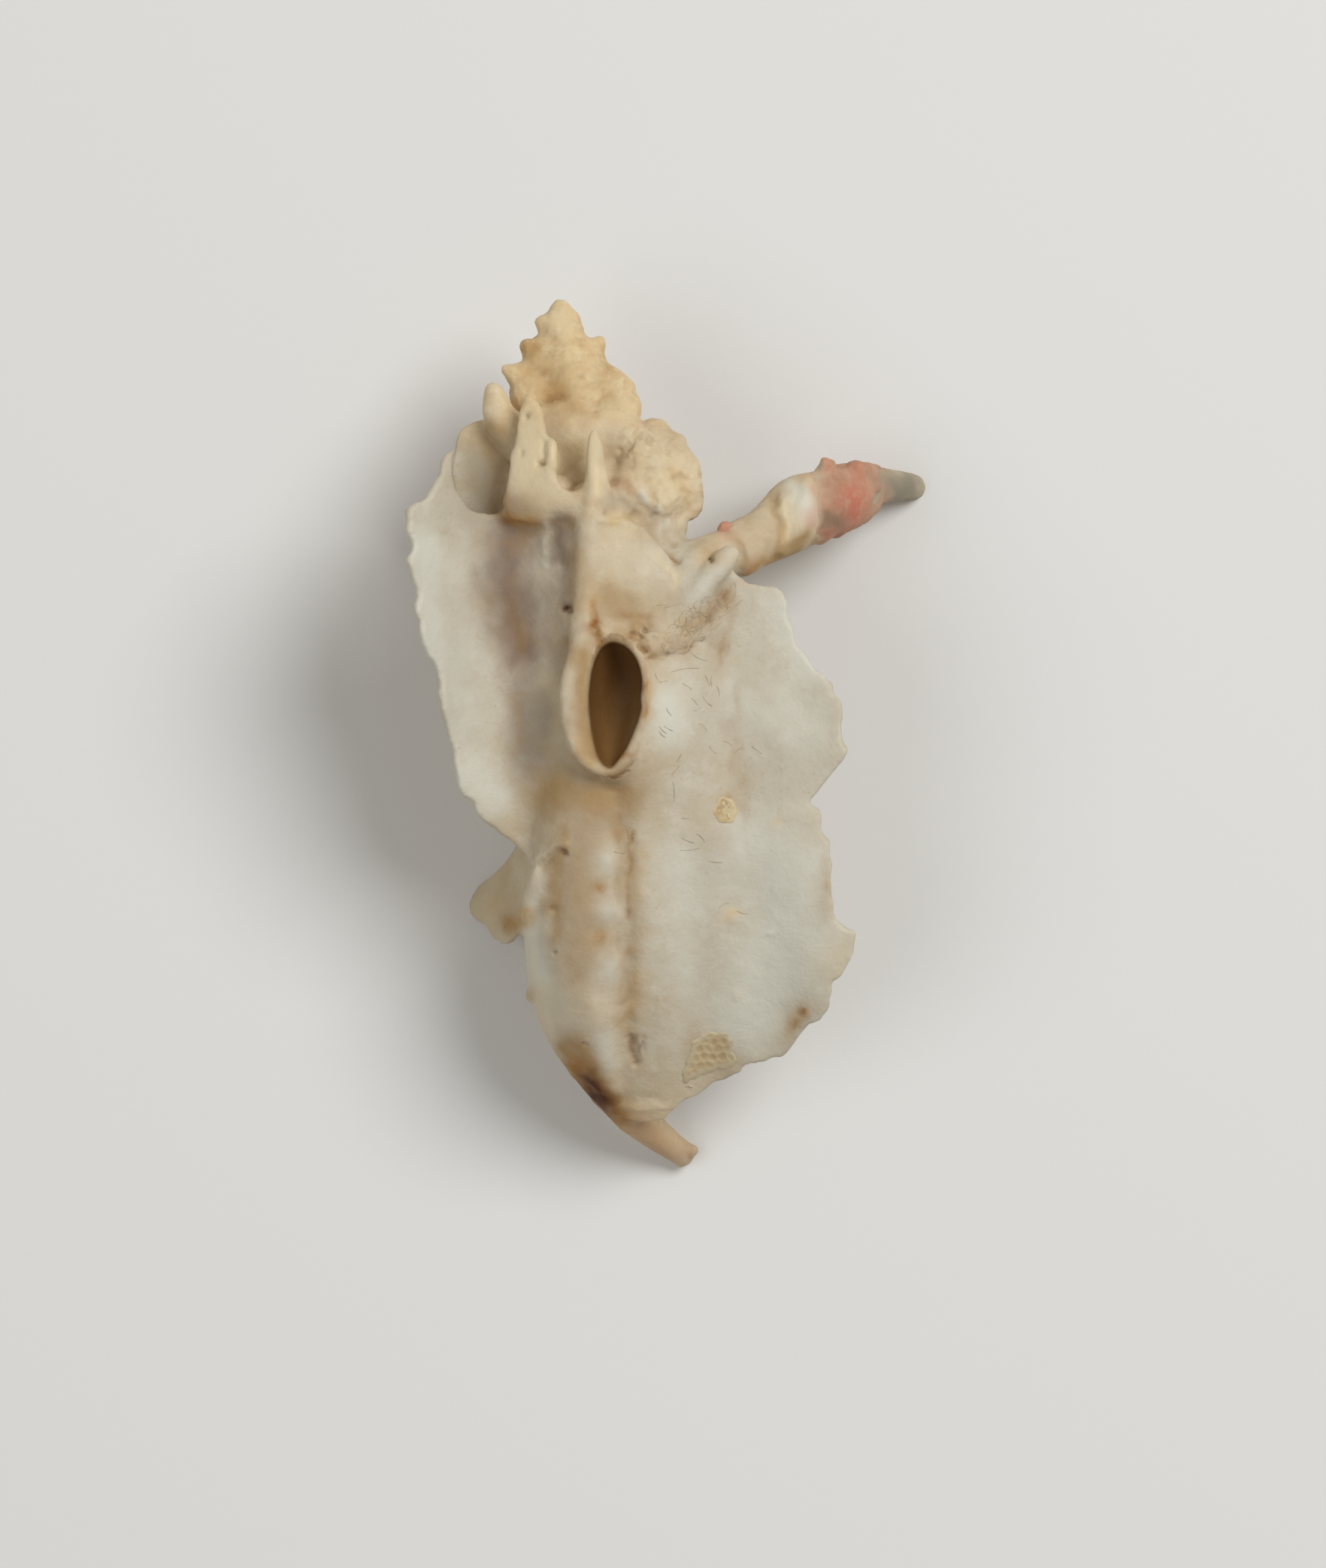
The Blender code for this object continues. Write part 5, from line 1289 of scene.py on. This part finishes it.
def makeDisc(tree):
    form = discForm
    spot, normal, _, _ = tree.ray_cast(Vector((*form["spot"], overhead)), straightDown)
    bm = bmesh.new()
    middleLayer = bm.verts.layers.float.new("middle")
    made = bmesh.ops.create_circle(bm, cap_ends=True, segments=22, radius=form["radius"] * 1.06)
    for vert in made["verts"]:
        vert.co *= 1.0 + 0.3 * noise.noise(vert.co / 0.35 + Vector((4, 0, 0)))
    face = made["verts"][0].link_faces[0]
    face = bmesh.ops.extrude_discrete_faces(bm, faces=[face])["faces"][0]
    bmesh.ops.translate(bm, verts=face.verts[:], vec=(0, 0, form["height"]))
    for thickness, rise in form["steps"]:
        bmesh.ops.inset_individual(bm, faces=[face], thickness=thickness)
        bmesh.ops.translate(bm, verts=face.verts[:], vec=(0, 0, rise))
        for vert in face.verts:
            vert[middleLayer] = 1.0 if thickness > 0.065 and vert.co.y > -0.16 else 0.0
            vert.co.z += 0.03 * noise.noise(vert.co / 0.12)
    bmesh.ops.poke(bm, faces=[face])
    turn = normal.to_track_quat("Z", "Y").to_matrix().to_4x4()
    sunk = Matrix.Translation(spot - normal * form["height"])
    bmesh.ops.transform(bm, verts=bm.verts[:], matrix=sunk @ turn)
    disc = makeObject("barnacle_base", bm)
    addModifier(disc, "SUBSURF", levels=2, render_levels=2)
    applyModifiers(disc)
    settle(disc, discMaterial(), "base_disc")


# fibres caught on the shell, each from x, y to x, y with a slight bow
lintForm = {
    "radius": 0.011, "tangleRadius": 0.007, "lift": 0.008, "tangle": 90,
    "fibres": [(0.5, -3.37, 0.82, -3.4), (0.5, -4.15, 1.0, -4.35), (1.1, -4.0, 1.42, -4.35),
               (0.45, -4.65, 1.25, -4.55), (1.6, -5.1, 2.15, -5.15), (2.0, -6.95, 2.4, -6.75),
               (2.7, -7.05, 3.15, -7.2), (0.4, -1.3, 0.15, -1.6), (0.15, -1.9, 0.2, -2.7),
               (1.6, -0.5, 1.9, -0.8), (2.6, -0.8, 2.95, -0.55), (3.3, -0.5, 3.7, -0.8),
               (-0.4, 0.3, -0.1, 0.0), (-0.5, 5.1, 0.0, 5.05), (1.7, 2.3, 1.7, 1.9), (-0.2, 5.0, 0.5, 5.2),
               (2.8, -13.25, 3.2, -13.28), (-0.55, 2.4, -0.3, 2.0), (0.1, 2.45, 1.2, 2.6),
               (1.45, 2.3, 1.6, 1.9), (1.35, 1.5, 1.7, 1.1), (1.9, 1.9, 2.0, 1.5), (-0.2, 0.3, 0.15, 0.1),
               (-0.1, 1.0, 0.1, 0.7), (1.2, 0.4, 1.5, 0.1), (0.9, 3.2, 1.5, 2.9), (-0.35, 2.05, -0.05, 2.1),
               (0.0, 3.1, 0.5, 3.4), (-0.6, 3.05, -0.2, 2.95), (0.9, 1.4, 1.15, 1.1),
               (0.55, 2.0, 0.9, 1.75), (-0.4, 0.1, -0.15, -0.15), (2.2, -0.3, 2.5, -0.5),
               (0.3, -1.1, 0.5, -0.8), (1.0, 0.9, 1.3, 1.05), (-1.8, -3.6, -1.6, -4.2),
               (-2.2, -4.7, -1.7, -4.75)],
}


def makeLint(tree):
    form = lintForm
    bm = bmesh.new()
    fibres = [(Vector(fibre[:2]), Vector(fibre[2:])) for fibre in form["fibres"]]
    loose = len(fibres)
    # matted fibres between the tube and the wing
    for k in range(form["tangle"]):
        away = math.sqrt((k + 0.5) / form["tangle"])
        angle = k * goldenAngle
        along, across = 1.7 * away * math.cos(angle), 0.6 * away * math.sin(angle)
        middle = Vector((1.15 + 0.76 * along - 0.65 * across, 4.5 + 0.65 * along + 0.76 * across))
        lean = 0.8 + 0.8 * math.sin(2.7 * k) * abs(math.sin(1.3 * k))
        half = Vector((math.cos(lean), math.sin(lean))) * (0.12 + 0.4 * (k * 0.37 % 1.0) ** 2)
        fibres.append((middle - half, middle + half))
    for k, (a, b) in enumerate(fibres):
        bow = Vector((b.y - a.y, a.x - b.x)) * (0.1 if k < loose else 0.3) * math.sin(2.3 * k)
        radius = form["radius"] if k < loose else form["tangleRadius"]
        stations = []
        for t in (0.0, 0.25, 0.5, 0.75, 1.0):
            place = a.lerp(b, t) + bow * 4 * t * (1 - t)
            level = levelUnder(tree, *place, stations[-1][2] if stations else 6.2)
            rise = form["lift"] * (1 + math.sin(3 * k + 5 * t))
            stations.append((*place, level + rise, radius))
        addTube(bm, stations, steps=3, sides=5, roundEnds=False)
    lint = makeObject("grey_lint", bm)
    settle(lint, lintMaterial(), None)


stageSpec = {
    "floorColour": "#E6E5E2", "worldColour": "#F5F3EF", "floorSize": 600.0, "world": 0.28,
    "lamps": [("key", (240, 180, 400), 280, 1.65), ("fill", (-260, -60, 380), 320, 0.42)],
}


def makeStage():
    bm = bmesh.new()
    bmesh.ops.create_grid(bm, x_segments=1, y_segments=1, size=stageSpec["floorSize"] / 2)
    floor = makeObject("floor", bm)
    floor.data.transform(Matrix.Scale(mm, 4))
    made = bpy.data.materials.new("matt_paper_sweep")
    made.use_nodes = True
    shader = made.node_tree.nodes["Principled BSDF"]
    shader.inputs["Base Color"].default_value = linearColour(stageSpec["floorColour"])
    shader.inputs["Roughness"].default_value = 0.9
    floor.data.materials.append(made)
    world = bpy.data.worlds.new("soft surround")
    world.use_nodes = True
    surround = world.node_tree.nodes["Background"].inputs
    surround["Color"].default_value = linearColour(stageSpec["worldColour"])
    surround["Strength"].default_value = stageSpec["world"]
    bpy.context.scene.world = world
    for name, place, size, power in stageSpec["lamps"]:
        lamp = bpy.data.lights.new(name, "AREA")
        lamp.shape = "DISK"
        lamp.size = size * mm
        lamp.energy = power
        holder = bpy.data.objects.new(name, lamp)
        holder.location = Vector(place) * mm
        holder.rotation_mode = "QUATERNION"
        holder.rotation_quaternion = (-Vector(place)).to_track_quat("-Z", "Y")
        bpy.context.scene.collection.objects.link(holder)


cameraSpec = {"frameHeight": 62.58, "aim": Vector((-0.24, -2.01, 9.0)), "distance": 600.0}


def makeCamera():
    # straight down on the aperture, through a long lens
    data = bpy.data.cameras.new("camera")
    data.sensor_width = 36.0
    data.lens = 36.0 * cameraSpec["distance"] / cameraSpec["frameHeight"]
    data.clip_start = 0.01
    data.clip_end = 5.0
    camera = bpy.data.objects.new("camera", data)
    camera.location = (cameraSpec["aim"] + drawingShift + Vector((0, 0, cameraSpec["distance"]))) * mm
    bpy.context.scene.collection.objects.link(camera)
    bpy.context.scene.camera = camera


bpy.context.scene.view_settings.view_transform = "Standard"
makeStage()
makeCamera()
print("stage and camera made")

shell = makeShell()
skinTree = surfaceTree(shell)
makeCrust()
makeBead()
makeMat(skinTree)
makeDisc(skinTree)
makeLint(skinTree)
settle(shell, shellMaterial(), "shell")
